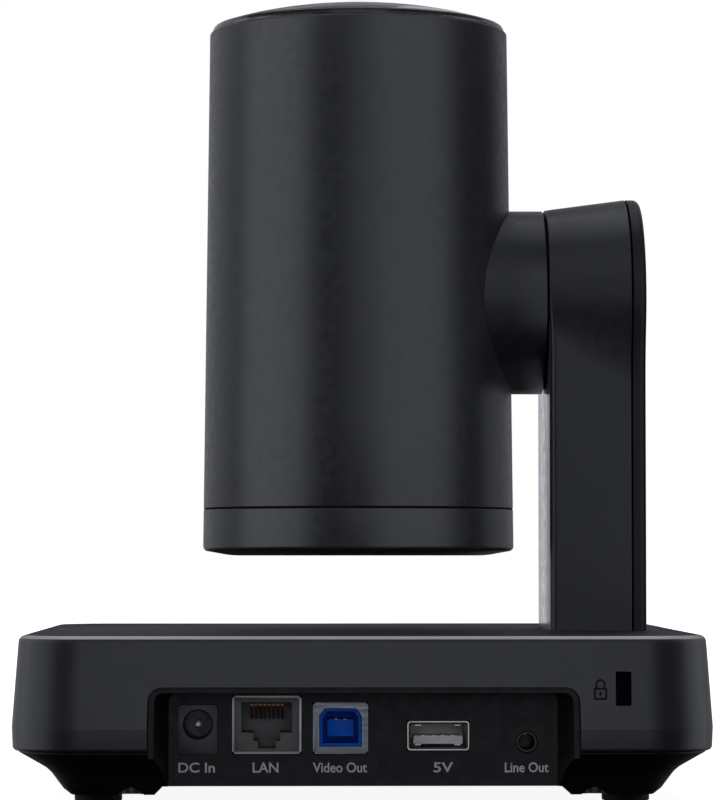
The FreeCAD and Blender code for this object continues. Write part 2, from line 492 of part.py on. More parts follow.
save("arm_outer_cover", ocov)
save("arm_screws", *[screw((-57.0, y, BASE_TOP - TURN_T - .02), (0, 0, 1), 1.2, 5.2, 2.6, 1.6) for y in (-17, 17)])

# tilt motor, pinion, board
tm = cyl(14.0, 11.3, (-48.92, 0, MZ), (-1, 0, 0))
tm = cut(tm, cyl(1.55, 20, (-45, 0, MZ), (-1, 0, 0)))
save("tilt_motor", tm)
tp = gear(TILT_M, TILT_Z2, 4.0, 0.3, slack=0.06)
tp = fuse(tp, cyl(1.5, 14.0, (0, 0, -10.5)))
tp = tp.copy()
tp.rotate(V(0, 0, 0), V(0, 0, 1), 180.0 / TILT_Z2)
tp = to_x(tp, 61.2, MZ)
save("tilt_pinion", tp)
# tilt bearings 15 x 24 x 5, two
TBR, TBB = 9.75, 1.2


def ring_x(r0, r1, u0):
    s = ring(r0, r1, 0, 5.0, TBR, TBB, 0.03)
    return to_x(s, u0, TILT_Z)


save("tilt_bearing_outer_rings", ring_x(10.45, 11.98, 49.42), ring_x(10.45, 11.98, 55.4))
save("tilt_bearing_inner_rings", ring_x(7.52, 9.05, 49.42), ring_x(7.52, 9.05, 55.4))
tb = []
for u0 in (49.42, 55.4):
    for k in range(12):
        a = 2 * math.pi * k / 12
        tb.append(Part.makeSphere(TBB, V(-u0 - 2.5, TBR * math.cos(a), TILT_Z + TBR * math.sin(a))))
save("tilt_bearing_balls", *tb)

# ================================================================ head
K = (HEAD_R_BOT - HEAD_R_TOP) / (HEAD_TOP - HEAD_BOT)


def hr(z, off=0.0):
    return HEAD_R_TOP + K * (HEAD_TOP - z) + off


S = HEAD_SEAM + 0.2
barrel = revz([(0, S), (hr(S), S), (hr(HEAD_TOP), HEAD_TOP, 0.35), (0, HEAD_TOP)])
barrel = cut(barrel, revz([(0, S - 1), (hr(S - 1, -2.2), S - 1), (hr(187.0, -2.2), 187.0), (0, 187.0)]), cyl(36.4, 5, (0, 0, 188.2)), cyl(33.6, 8, (0, 0, 186)))
barrel = cut(barrel, cyl(10.5, 30, (-20, 0, TILT_Z), (-1, 0, 0)),
             *[cyl(1.3, 20, (-28, 15 * math.cos(a), TILT_Z + 15 * math.sin(a)), (-1, 0, 0)) for a in (math.pi / 4 + math.pi / 2 * k for k in range(4))])
save("head_barrel", barrel)

S2 = HEAD_SEAM - 0.2
cap = revz([(0, HEAD_BOT + 0.25), (28.6, HEAD_BOT + 0.25), (29.2, HEAD_BOT), (32.0, HEAD_BOT, 24.0), (hr(HEAD_BOT), HEAD_BOT + 1.3, 1.3), (hr(S2), S2), (hr(S2, -2.25), S2), (hr(S2, -2.25), S2 + 3.2),
            (34.2, S2 + 3.2), (34.2, 61.5, 1.0), (0, 60.2)])
save("head_rear_cap", cap)
hub_solid = revx([(20, 0), (HUB_END, 0), (HUB_END, HUB_R, 0.3), (20, HUB_R)], TILT_Z)
barrel_skin = revz([(0, 60), (hr(60, 0.15), 60), (hr(187, 0.15), 187), (0, 187)])
hub = cut(hub_solid, barrel_skin, revx([(10, 0), (44.4, 0), (44.4, HUB_R - 2.2), (10, HUB_R - 2.2)], TILT_Z))
hub = cut(hub, cyl(7.9, 30, (-30, 0, TILT_Z), (-1, 0, 0)))
hub_posts = [cyl(2.6, 20, (-30, 15 * math.cos(a), TILT_Z + 15 * math.sin(a)), (-1, 0, 0)).common(
    cut(box(-44.6, -30, -22, 22, TILT_Z - 22, TILT_Z + 22), barrel_skin)) for a in (math.pi / 4 + math.pi / 2 * k for k in range(4))]
hub = fuse(max(hub.Solids, key=lambda s: s.Volume), *hub_posts)
hub = cut(hub, *[cyl(1.1, 8, (-34, 15 * math.cos(a), TILT_Z + 15 * math.sin(a)), (-1, 0, 0)) for a in (math.pi / 4 + math.pi / 2 * k for k in range(4))])
save("tilt_hub_cover", max(hub.Solids, key=lambda s: s.Volume))
save("hub_screws", *[screw((-30.6, 15 * math.cos(a), TILT_Z + 15 * math.sin(a)), (-1, 0, 0), 1.05, 9.0, 1.9, 1.4) for a in
                     (math.pi / 4 + math.pi / 2 * k for k in range(4))])

tshaft = revx([(24.02, 4.5), (24.02, 12.5), (26.6, 12.5), (26.6, 7.48), (65.9, 7.48), (65.9, 4.5)], TILT_Z)
tshaft = cut(tshaft, *[cyl(1.3, 8, (-22, 10 * math.cos(a), TILT_Z + 10 * math.sin(a)), (-1, 0, 0)) for a in (math.pi / 2 * k for k in range(4))])
save("tilt_shaft", tshaft)
tg = gear(TILT_M, TILT_Z1, 4.0, 7.5, slack=0.06, phase=0.0)
tg = cut(tg, *[cyl(3.2, 8, (14.3 * math.cos(math.radians(30 + 60 * k)), 14.3 * math.sin(math.radians(30 + 60 * k)), -1)) for k in range(6)])
# a tooth of the head gear points straight down at the pinion
tg = to_x(tg, 61.2, TILT_Z)
TG_PHASE = None
save("tilt_gear", tg)

# lens block
hf = box(-24.0, -21.02, -19.0, 19.0, 90.0, 158.0)
hf = cut(hf, cyl(6.0, 10, (-18, 0, TILT_Z), (-1, 0, 0)), *[cyl(1.3, 10, (-18, 10 * math.cos(a), TILT_Z + 10 * math.sin(a)), (-1, 0, 0)) for a in (math.pi / 2 * k for k in range(4))])
save("head_frame", hf)
lb = rrectz(-21.0, 21.0, -21.0, 21.0, 3.0, 89.0, 170.0)
lb = fuse(lb, cyl(23.5, 14.0, (0, 0, 169.0)))
lb = cut(lb, rrectz(-19.0, 19.0, -19.0, 19.0, 2.0, 88.0, 167.5), cyl(18.0, 30, (0, 0, 160)), cyl(21.5, 10, (0, 0, 176.18)))
save("lens_block_body", lb)
R = 48.0
dome_c = 183.0 - R
fl = cut(cyl(21.4, 7.0, (0, 0, 176.2)).common(Part.makeSphere(R, V(0, 0, dome_c))), Part.makeSphere(70.0, V(0, 0, 176.2 - 68.6)))
save("front_lens", fl)
mask = cut(cyl(33.5, 0.8, (0, 0, 187.22)), cyl(22.6, 3, (0, 0, 186)))
trim = revz([(21.6, 183.02), (23.5, 183.02), (26.0, 187.6), (21.9, 188.02, 0.3), (20.4, 185.8, 0.3)])
save("front_mask", fuse(mask, trim))
glass = revz([(0, 194.45), (20.0, 194.45, 98.0), (33.4, 190.3, 0.4), (33.4, 188.24), (36.3, 188.24), (36.3, 189.62), (37.15, 189.62), (36.5, 191.25, 0.9),
              (20.5, 196.2, 100.0), (0, 196.2)])
save("front_glass", glass)
sb = fuse(rrectz(-20.5, 20.5, -20.5, 20.5, 1.5, 87.2, 88.8), rrectz(-8, 8, -6.5, 6.5, 0.3, 88.7, 90.4))
vb = rrectz(-23.0, 23.0, -23.0, 23.0, 3.0, 75.0, 76.6)
vb = fuse(vb, rrectz(12, 20, -14, -4, 0.4, 76.5, 77.6), rrectz(-21, -13, -9, 9, 0.4, 76.5, 79.0), box(-6, 6, -3, 3, 76.5, 87.3))
save("camera_boards", fuse(sb, vb))

# zoom and focus groups on two guide rods, each with its own lead screw
save("guide_rods", *[cyl(1.0, 78.2, (s * 14.0, s * 14.0, 89.2)) for s in (-1, 1)])


def carriage(z0, h, r, sign):
    c = cyl(r + 2.2, h, (0, 0, z0))
    for s in (-1, 1):
        arm_ = box(0, 15.4, -1.6, 1.6, z0, z0 + h)
        arm_.rotate(V(0, 0, 0), V(0, 0, 1), 45 if s > 0 else 225)
        c = c.fuse([arm_, cyl(2.2, h, (s * 14.0, s * 14.0, z0))])
    nut = box(0, 19.8, -1.6, 1.6, z0, z0 + h)
    nut.rotate(V(0, 0, 0), V(0, 0, 1), -45 if sign > 0 else 135)
    c = c.fuse([nut, cyl(2.6, h, (sign * 14.0, -sign * 14.0, z0))])
    bore = [cyl(r, h + 2, (0, 0, z0 - 1)), cyl(1.04, h + 2, (14, 14, z0 - 1)), cyl(1.04, h + 2, (-14, -14, z0 - 1)),
            cyl(1.56, h + 2, (sign * 14.0, -sign * 14.0, z0 - 1))]
    return max(c.cut(bore).removeSplitter().Solids, key=lambda s: s.Volume)


zc_ = carriage(150.0, 6.0, 10.0, 1)
fc_ = carriage(104.0, 5.0, 8.0, -1)
save("zoom_carriage", zc_)
save("zoom_lens", cut(cyl(9.98, 5.0, (0, 0, 150.5)), Part.makeSphere(26.0, V(0, 0, 155.5 + 24.0))))
save("focus_carriage", fc_)
save("focus_lens", cyl(7.98, 4.6, (0, 0, 104.2)).common(Part.makeSphere(20.0, V(0, 0, 88.8))))
save("zoom_screw", cyl(1.5, 40.0, (14, -14, 120.0)))
save("focus_screw", cyl(1.5, 30.0, (-14, 14, 94.0)))
motors = []
for sx, z0 in ((1, 157.8), (-1, 119.0)):
    m_ = fuse(cyl(4.0, 8.0, (sx * 14.0, -sx * 14.0, z0)), box(min(sx * 13, sx * 15), max(sx * 13, sx * 15), min(-sx * 18.98, -sx * 14.0), max(-sx * 18.98, -sx * 14.0), z0, z0 + 8.0))
    motors.append(cut(m_, cyl(1.54, 6.0, (sx * 14.0, -sx * 14.0, z0 - 0.5))))
save("lens_motors", *motors)
print(len(MADE), "nodes")
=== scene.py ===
import bpy
import bmesh
import json
import math
from mathutils import Vector, Matrix

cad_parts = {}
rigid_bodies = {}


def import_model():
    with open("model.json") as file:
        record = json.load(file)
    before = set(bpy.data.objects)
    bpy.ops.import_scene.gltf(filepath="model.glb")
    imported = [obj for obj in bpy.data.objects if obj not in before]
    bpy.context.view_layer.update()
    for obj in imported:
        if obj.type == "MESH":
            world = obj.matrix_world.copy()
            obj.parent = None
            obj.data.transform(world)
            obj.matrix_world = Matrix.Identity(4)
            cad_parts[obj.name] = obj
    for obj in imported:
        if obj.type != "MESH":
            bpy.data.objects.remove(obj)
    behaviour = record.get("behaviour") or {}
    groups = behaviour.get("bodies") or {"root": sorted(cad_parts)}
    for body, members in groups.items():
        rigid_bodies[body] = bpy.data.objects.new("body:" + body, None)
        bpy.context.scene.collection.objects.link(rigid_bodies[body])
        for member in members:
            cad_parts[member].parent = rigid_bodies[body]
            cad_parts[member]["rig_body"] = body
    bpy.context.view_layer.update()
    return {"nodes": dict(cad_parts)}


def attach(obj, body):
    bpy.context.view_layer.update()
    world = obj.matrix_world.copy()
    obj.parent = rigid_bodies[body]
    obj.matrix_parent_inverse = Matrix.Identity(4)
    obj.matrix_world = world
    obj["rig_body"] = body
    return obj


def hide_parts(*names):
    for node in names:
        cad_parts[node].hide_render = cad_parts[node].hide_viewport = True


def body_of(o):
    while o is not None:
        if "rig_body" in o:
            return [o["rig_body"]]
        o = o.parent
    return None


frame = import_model()
NODES = frame["nodes"]
SC = bpy.context.scene
MM = 0.001

# ------------------------------------------------------------------ design dimensions, mm (row frame)
A0, B0 = 65.0, 64.0            # straight half lengths of the base outline
CORNER = 17.0
R_TOP = 15.4
BASE_TOP = 39.2
SEAM = 12.3
WIDEST_Z = 17.8
SKID_Z, FLOOR_Z = 2.0, 4.2
TURN_R = 74.7
TILT_Z = 121.6
HEAD_TOP, HEAD_BOT, HEAD_SEAM = 189.6, 57.7, 69.4
R_HT, R_HB = 37.58, 39.13
HUB_R, HUB_END = 23.15, 46.4
ARM_IN, ARM_SEAM, ARM_OUT = 46.9, 67.0, 70.7
R_IN, R_OUT, POST = 23.35, 26.0, 22.8
PANEL_Y = 70.0
RECESS_IN = 45.2
DC = (38.4, 17.5)
RJ = (22.4, 18.45)
UB = (5.3, 18.1)
UA = (-17.4, 15.9)
AU = (-38.0, 14.4)
LOCK = (-59.7, 27.1)


# ------------------------------------------------------------------ mesh helpers
def arc(cx, cy, r, a0, a1, n):
    return [(cx + r * math.cos(math.radians(a0 + (a1 - a0) * i / n)),
             cy + r * math.sin(math.radians(a0 + (a1 - a0) * i / n))) for i in range(n + 1)]


def rounded(pts, n=5):
    """Polyline whose listed vertices (x, y, r) get arcs of radius r; open ends stay."""
    out = []
    for i, p in enumerate(pts):
        r = p[2] if len(p) > 2 else 0
        if not r or i in (0, len(pts) - 1):
            out.append((p[0], p[1]))
            continue
        a, b = Vector(pts[i - 1][:2]), Vector(pts[i + 1][:2])
        c = Vector(p[:2])
        u, v = (a - c).normalized(), (b - c).normalized()
        th = math.acos(max(-1, min(1, u.dot(v))))
        t = r / math.tan(th / 2)
        centre = c + (u + v).normalized() * (r / math.sin(th / 2))
        p0, p1 = c + u * t, c + v * t
        a0 = math.atan2(p0.y - centre.y, p0.x - centre.x)
        a1 = math.atan2(p1.y - centre.y, p1.x - centre.x)
        while a1 - a0 > math.pi:
            a1 -= 2 * math.pi
        while a1 - a0 < -math.pi:
            a1 += 2 * math.pi
        for k in range(n + 1):
            a_ = a0 + (a1 - a0) * k / n
            out.append((centre.x + r * math.cos(a_), centre.y + r * math.sin(a_)))
    return out


def make(name, bm, angle=32, material=None):
    bmesh.ops.recalc_face_normals(bm, faces=bm.faces)
    me = bpy.data.meshes.new(name)
    bm.to_mesh(me)
    bm.free()
    o = bpy.data.objects.new(name, me)
    SC.collection.objects.link(o)
    me.polygons.foreach_set("use_smooth", [True] * len(me.polygons))
    me.set_sharp_from_angle(angle=math.radians(angle))
    if material:
        me.materials.append(material)
    return o


def rings_to_bm(rings, closed=True, cap0=True, cap1=True):
    """Quads between equal point rings; the ends are closed with one face each."""
    bm = bmesh.new()
    vs = [[bm.verts.new((x * MM, y * MM, z * MM)) for x, y, z in ring] for ring in rings]
    n = len(rings[0])
    for a, b in zip(vs, vs[1:]):
        for i in range(n if closed else n - 1):
            j = (i + 1) % n
            bm.faces.new((a[i], a[j], b[j], b[i]))
    if cap0:
        bm.faces.new(list(reversed(vs[0])))
    if cap1:
        bm.faces.new(vs[-1])
    return bm


def lathe(name, prof, segs=128, material=None, cx=0, cy=0, angle=32):
    """Closed body of revolution about the vertical through (cx, cy); prof is a loop of (r, z)."""
    bm = bmesh.new()
    cols = []
    for k in range(segs):
        a = 2 * math.pi * k / segs
        cols.append([None if r < 1e-6 else bm.verts.new(((cx + r * math.cos(a)) * MM, (cy + r * math.sin(a)) * MM, z * MM)) for r, z in prof])
    poles = {i: bm.verts.new((cx * MM, cy * MM, z * MM)) for i, (r, z) in enumerate(prof) if r < 1e-6}
    m = len(prof)
    for k in range(segs):
        a, b = cols[k], cols[(k + 1) % segs]
        for i in range(m):
            j = (i + 1) % m
            q = [a[i] or poles[i], b[i] or poles[i], b[j] or poles[j], a[j] or poles[j]]
            u = []
            for v in q:
                if v not in u:
                    u.append(v)
            if len(u) > 2:
                bm.faces.new(u)
    return make(name, bm, angle, material)


def to_x(o, u0=0.0):
    """Turns a body built about +Z so its axis runs along -X from distance u0, through the tilt axis."""
    o.data.transform(Matrix.Translation((-u0 * MM, 0, TILT_Z * MM)) @ Matrix.Rotation(math.radians(-90), 4, "Y"))
    return o


def block(name, x0, x1, y0, y1, z0, z1, bevel=0.0, seg=3, material=None, angle=32):
    """Box with rounded edges."""
    bm = bmesh.new()
    bmesh.ops.create_cube(bm, size=1.0)
    for v in bm.verts:
        v.co = Vector(((x0 + x1) / 2 + v.co.x * (x1 - x0), (y0 + y1) / 2 + v.co.y * (y1 - y0), (z0 + z1) / 2 + v.co.z * (z1 - z0))) * MM
    if bevel:
        bmesh.ops.bevel(bm, geom=list(bm.edges), offset=bevel * MM, segments=seg, profile=0.5, affect="EDGES")
    return make(name, bm, angle, material)


def prism(name, pts, y0, y1, bevel=0.0, seg=2, material=None, angle=32, holes=(), back_taper=None):
    """Outline pts (x, z) pushed from y0 to y1, both in mm."""
    bm = bmesh.new()
    a = [bm.verts.new((x * MM, y0 * MM, z * MM)) for x, z in pts]
    b = [bm.verts.new((x * MM, y1 * MM, z * MM)) for x, z in pts]
    n = len(pts)
    for i in range(n):
        bm.faces.new((a[i], a[(i + 1) % n], b[(i + 1) % n], b[i]))
    bm.faces.new(a[::-1])
    f1 = bm.faces.new(b)
    if bevel:
        bm.edges.ensure_lookup_table()
        es = [e for e in f1.edges]
        bmesh.ops.bevel(bm, geom=es, offset=bevel * MM, segments=seg, profile=0.5, affect="EDGES")
    return make(name, bm, angle, material)


def rrect(cx, cz, w, h, r, n=5):
    x0, x1, z0, z1 = cx - w / 2, cx + w / 2, cz - h / 2, cz + h / 2
    p = []
    for (ax, az, a) in ((x1 - r, z1 - r, 0), (x0 + r, z1 - r, 90), (x0 + r, z0 + r, 180), (x1 - r, z0 + r, 270)):
        p += arc(ax, az, r, a, a + 90, n)
    return p


def boolean(o, cutters, op="DIFFERENCE", solver="EXACT", angle=32):
    for c in cutters:
        m = o.modifiers.new("b", "BOOLEAN")
        m.operation = op
        m.object = c
        m.solver = solver
    dg = bpy.context.evaluated_depsgraph_get()
    me = bpy.data.meshes.new_from_object(o.evaluated_get(dg))
    me.name = o.name
    o.modifiers.clear()
    old = o.data
    o.data = me
    bpy.data.meshes.remove(old)
    for c in cutters:
        d = c.data
        bpy.data.objects.remove(c)
        bpy.data.meshes.remove(d)
    me.polygons.foreach_set("use_smooth", [True] * len(me.polygons))
    me.set_sharp_from_angle(angle=math.radians(angle))
    return o


def join(name, objs, material=None, angle=32):
    """One object from several, each keeping its own closed shells."""
    bm = bmesh.new()
    for o in objs:
        tmp = o.data.copy()
        tmp.transform(o.matrix_world)
        bm.from_mesh(tmp)
        bpy.data.meshes.remove(tmp)
    for o in objs:
        d = o.data
        bpy.data.objects.remove(o)
        bpy.data.meshes.remove(d)
    return make(name, bm, angle, material)


# ------------------------------------------------------------------ materials
def shader(name):
    m = bpy.data.materials.new(name)
    m.use_nodes = True
    nt = m.node_tree
    nt.nodes.clear()
    out = nt.nodes.new("ShaderNodeOutputMaterial")
    b = nt.nodes.new("ShaderNodeBsdfPrincipled")
    nt.links.new(b.outputs[0], out.inputs[0])
    return m, nt, b


def noise(nt, coord, scale, detail=2.0, rough=0.5):
    n = nt.nodes.new("ShaderNodeTexNoise")
    n.inputs["Scale"].default_value = scale
    n.inputs["Detail"].default_value = detail
    n.inputs["Roughness"].default_value = rough
    nt.links.new(coord, n.inputs["Vector"])
    return n.outputs["Fac"]


def ramp(nt, fac, a, b, lo=0.0, hi=1.0):
    r = nt.nodes.new("ShaderNodeMapRange")
    r.inputs["From Min"].default_value = lo
    r.inputs["From Max"].default_value = hi
    r.inputs["To Min"].default_value = a
    r.inputs["To Max"].default_value = b
    nt.links.new(fac, r.inputs["Value"])
    return r.outputs["Result"]


def mixc(nt, fac, c0, c1):
    m = nt.nodes.new("ShaderNodeMix")
    m.data_type = "RGBA"
    if hasattr(fac, "is_linked"):
        nt.links.new(fac, m.inputs[0])
    else:
        m.inputs[0].default_value = fac
    for i, c in ((6, c0), (7, c1)):
        if isinstance(c, (tuple, list)):
            m.inputs[i].default_value = (*c, 1)
        else:
            nt.links.new(c, m.inputs[i])
    return m.outputs[2]


def plastic(name, col, rough=0.42, grain=2600, bump=0.06, var=0.10, spec=0.5, wear=0.25, coat=0.0, metal=0.0, dist=0.00006, rvar=0.05):
    """Moulded plastic: spark-eroded grain, slow tone drift, handled edges a touch lighter."""
    m, nt, b = shader(name)
    tc = nt.nodes.new("ShaderNodeTexCoord")
    obj = tc.outputs["Object"]
    slow = noise(nt, obj, 34, 3)
    mid = noise(nt, obj, 420, 3)
    lo = tuple(c * (1 - var) for c in col)
    hi = tuple(min(1, c * (1 + var)) for c in col)
    c = mixc(nt, ramp(nt, slow, 0, 1, 0.3, 0.7), lo, hi)
    geo = nt.nodes.new("ShaderNodeNewGeometry")
    edge = ramp(nt, geo.outputs["Pointiness"], 0, wear, 0.52, 0.62)
    edge.node.clamp = True
    c = mixc(nt, edge, c, tuple(min(1, x * 2.2 + 0.01) for x in col))
    nt.links.new(c, b.inputs["Base Color"])
    b.inputs["Metallic"].default_value = metal
    b.inputs["Specular IOR Level"].default_value = spec
    b.inputs["Specular Tint"].default_value = (0.97, 0.985, 1.06, 1)
    b.inputs["Coat Weight"].default_value = coat
    b.inputs["Coat Roughness"].default_value = 0.05
    nt.links.new(ramp(nt, mid, rough - rvar, rough + rvar, 0.3, 0.7), b.inputs["Roughness"])
    g = noise(nt, obj, grain, 2)
    bu = nt.nodes.new("ShaderNodeBump")
    bu.inputs["Strength"].default_value = bump
    bu.inputs["Distance"].default_value = dist
    nt.links.new(g, bu.inputs["Height"])
    nt.links.new(bu.outputs[0], b.inputs["Normal"])
    return m


def metal(name, col, rough=0.3, brush=None, bump=0.05, var=0.08, tarnish=0.2):
    """Metal with fine brushing along one axis and faint tarnish."""
    m, nt, b = shader(name)
    tc = nt.nodes.new("ShaderNodeTexCoord")
    mp = nt.nodes.new("ShaderNodeMapping")
    mp.inputs["Scale"].default_value = brush or (1, 1, 1)
    nt.links.new(tc.outputs["Object"], mp.inputs["Vector"])
    st = noise(nt, mp.outputs[0], 1500, 3)
    sl = noise(nt, tc.outputs["Object"], 160, 4)
    c = mixc(nt, ramp(nt, st, 0, 1, 0.3, 0.7), tuple(x * (1 - var) for x in col), tuple(min(1, x * (1 + var)) for x in col))
    c = mixc(nt, ramp(nt, sl, 0, tarnish, 0.45, 0.75), c, tuple(x * 0.55 for x in col))
    nt.links.new(c, b.inputs["Base Color"])
    b.inputs["Metallic"].default_value = 1.0
    nt.links.new(ramp(nt, st, rough * 0.75, rough * 1.35, 0.3, 0.7), b.inputs["Roughness"])
    bu = nt.nodes.new("ShaderNodeBump")
    bu.inputs["Strength"].default_value = bump
    bu.inputs["Distance"].default_value = 0.00004
    nt.links.new(st, bu.inputs["Height"])
    nt.links.new(bu.outputs[0], b.inputs["Normal"])
    return m


def glass(name, tint, rough=0.02, ior=1.5, trans=1.0, coat=0.0):
    m, nt, b = shader(name)
    tc = nt.nodes.new("ShaderNodeTexCoord")
    n = noise(nt, tc.outputs["Object"], 90, 3)
    nt.links.new(mixc(nt, n, tint, tuple(min(1, x * 1.15 + 0.002) for x in tint)), b.inputs["Base Color"])
    b.inputs["Transmission Weight"].default_value = trans
    b.inputs["IOR"].default_value = ior
    nt.links.new(ramp(nt, n, rough, rough + 0.03, 0.3, 0.7), b.inputs["Roughness"])
    b.inputs["Coat Weight"].default_value = coat
    return m


CHAR = (0.0138, 0.0143, 0.0168)
M_BARREL = plastic("barrel_satin", CHAR, rough=0.36, grain=2400, bump=0.05, spec=0.6)
M_CAP = plastic("cap_satin", CHAR, rough=0.36, grain=2400, bump=0.05, spec=0.6)
M_HUB = plastic("hub_satin", (0.0085, 0.009, 0.0118), rough=0.36, grain=2400, bump=0.05, spec=0.4)
M_ARM = plastic("arm_satin", (0.0128, 0.0133, 0.0158), rough=0.37, grain=2400, bump=0.05, spec=0.44)
M_ARMCOV = plastic("arm_cover_satin", (0.0085, 0.0088, 0.0105), rough=0.38, grain=2400, bump=0.05, spec=0.2)
M_HOUSE = plastic("housing_satin", (0.0205, 0.021, 0.0238), rough=0.38, grain=2200, bump=0.06, var=0.03, rvar=0.012)
# painted highlight: a pale grey line on the housing's top rear fillet stands in for the highlight along that edge
M_EDGE_PAINTED_HIGHLIGHT = plastic("housing_edge_painted_highlight", (0.56, 0.565, 0.58), rough=0.32, grain=2200, bump=0.04, spec=0.7)
nt = M_EDGE_PAINTED_HIGHLIGHT.node_tree                 # the painted highlight line sits on the rear edge only and fades round the corners into the housing colour
b = next(n for n in nt.nodes if n.type == "BSDF_PRINCIPLED")
tc = nt.nodes.new("ShaderNodeTexCoord")
sp = nt.nodes.new("ShaderNodeSeparateXYZ")
nt.links.new(tc.outputs["Object"], sp.inputs[0])
fade = ramp(nt, sp.outputs["Y"], 0, 1, 0.0655, 0.0785)
nt.links.new(mixc(nt, fade, (0.0205, 0.021, 0.0238), b.inputs["Base Color"].links[0].from_socket), b.inputs["Base Color"])
M_TOP = plastic("housing_top_matt", (0.017, 0.0174, 0.0195), rough=0.62, grain=2200, bump=0.08, spec=0.18)
# painted reflection: the arm's inner face is coloured much lighter than the arm to stand in for the bright backdrop it
# reflects
M_ARM_INNER_PAINTED_REFLECTION = plastic("arm_inner_painted_reflection", (0.12, 0.12, 0.123), rough=0.17, grain=2400, bump=0.02, spec=0.8)
# painted shade: near-black colour for the walls inside the connector recess, standing in for the shade that falls there
M_RECESS_PAINTED_SHADE = plastic("recess_painted_shade", (0.003, 0.003, 0.0033), rough=0.6, grain=1800, bump=0.12, spec=0.12)
M_TURN = plastic("turntable_satin", (0.015, 0.0153, 0.0172), rough=0.6, grain=2200, bump=0.08, spec=0.2)
M_COVER = plastic("bottom_black", (0.0045, 0.0045, 0.005), rough=0.55, grain=1500, bump=0.15)
M_TRAY = plastic("tray_black", (0.0042, 0.0042, 0.0045), rough=0.5, grain=1800, bump=0.12, spec=0.3)
M_GAP = plastic("gap_black", (0.001, 0.001, 0.001), rough=0.8, grain=1500, bump=0.1, spec=0.05)
M_PORT = plastic("port_black", (0.011, 0.011, 0.011), rough=0.38, grain=2600, bump=0.08)
M_RUBBER = plastic("foot_rubber_black", (0.006, 0.006, 0.006), rough=0.75, grain=900, bump=0.3, spec=0.3)
M_SHIELD = metal("shield_nickel", (0.32, 0.32, 0.325), rough=0.38, brush=(1, 1, 0.08))
M_USBSH = metal("usb_nickel", (0.48, 0.48, 0.475), rough=0.3, brush=(0.08, 1, 1))
M_GOLD = metal("contact_gold_flash", (0.75, 0.5, 0.2), rough=0.22, brush=(1, 0.08, 1))
M_STEEL = metal("plain_steel", (0.42, 0.42, 0.43), rough=0.32, brush=(0.1, 1, 1))
M_BRIGHT = metal("bright_steel", (0.75, 0.75, 0.76), rough=0.15)
M_BLACKST = metal("black_oxide", (0.05, 0.05, 0.052), rough=0.42)
M_ALU = metal("cast_alu", (0.55, 0.55, 0.56), rough=0.45, bump=0.2)
M_BRASS = metal("turned_brass", (0.62, 0.45, 0.2), rough=0.25, brush=(1, 1, 0.1))
M_BLUE = plastic("usb_blue_plastic", (0.003, 0.14, 0.85), rough=0.45, grain=2600, bump=0.05, wear=0.0, spec=0.12)
M_TONGUE = plastic("usb_tongue_plastic", (0.72, 0.72, 0.71), rough=0.4, grain=2600, bump=0.05, wear=0.0)
M_BOARD = plastic("solder_mask", (0.004, 0.045, 0.018), rough=0.3, grain=900, bump=0.05, coat=0.3)
M_PARTS = plastic("chip_epoxy", (0.012, 0.012, 0.013), rough=0.55, grain=1500, bump=0.2)
M_GEAR = plastic("acetal_white", (0.62, 0.61, 0.57), rough=0.35, grain=2000, bump=0.05, wear=0.0)
M_INK = plastic("label_ink", (0.62, 0.62, 0.62), rough=0.6, grain=2600, bump=0.25, wear=0.0, var=0.15)
M_ICON = plastic("icon_ink", (0.002, 0.002, 0.003), rough=0.6, grain=2600, bump=0.25, wear=0.0, var=0.12, spec=0.15)
M_WINDOW = plastic("ir_window_dark", (0.006, 0.002, 0.003), rough=0.06, grain=600, bump=0.01, wear=0.0, coat=1.0, rvar=0.02)
M_PIPE = plastic("light_pipe_frost", (0.42, 0.46, 0.5), rough=0.35, grain=1400, bump=0.1, wear=0.0)
M_MASK = plastic("mask_gloss_black", (0.003, 0.003, 0.003), rough=0.12, grain=1400, bump=0.01, wear=0.0, coat=0.6, rvar=0.03)
M_LENSBODY = plastic("lens_block_black", (0.006, 0.006, 0.006), rough=0.5, grain=1400, bump=0.15)
M_RJ = plastic("jack_grey", (0.105, 0.104, 0.1), rough=0.42, grain=2600, bump=0.08, wear=0.0)
M_COPPER = plastic("contact_copper", (0.34, 0.15, 0.07), rough=0.35, grain=2600, bump=0.05, wear=0.0, metal=0.35)
M_USBB = metal("usb_b_steel", (0.3, 0.32, 0.36), rough=0.5, brush=(0.08, 1, 1))
M_PIN = metal("inlet_pin_nickel", (0.95, 0.95, 0.95), rough=0.55)
M_GLASS = glass("smoked_glass", (0.3, 0.302, 0.315), rough=0.015)
M_LENS = glass("coated_lens", (0.72, 0.78, 0.86), rough=0.01, ior=1.6, coat=0.5)

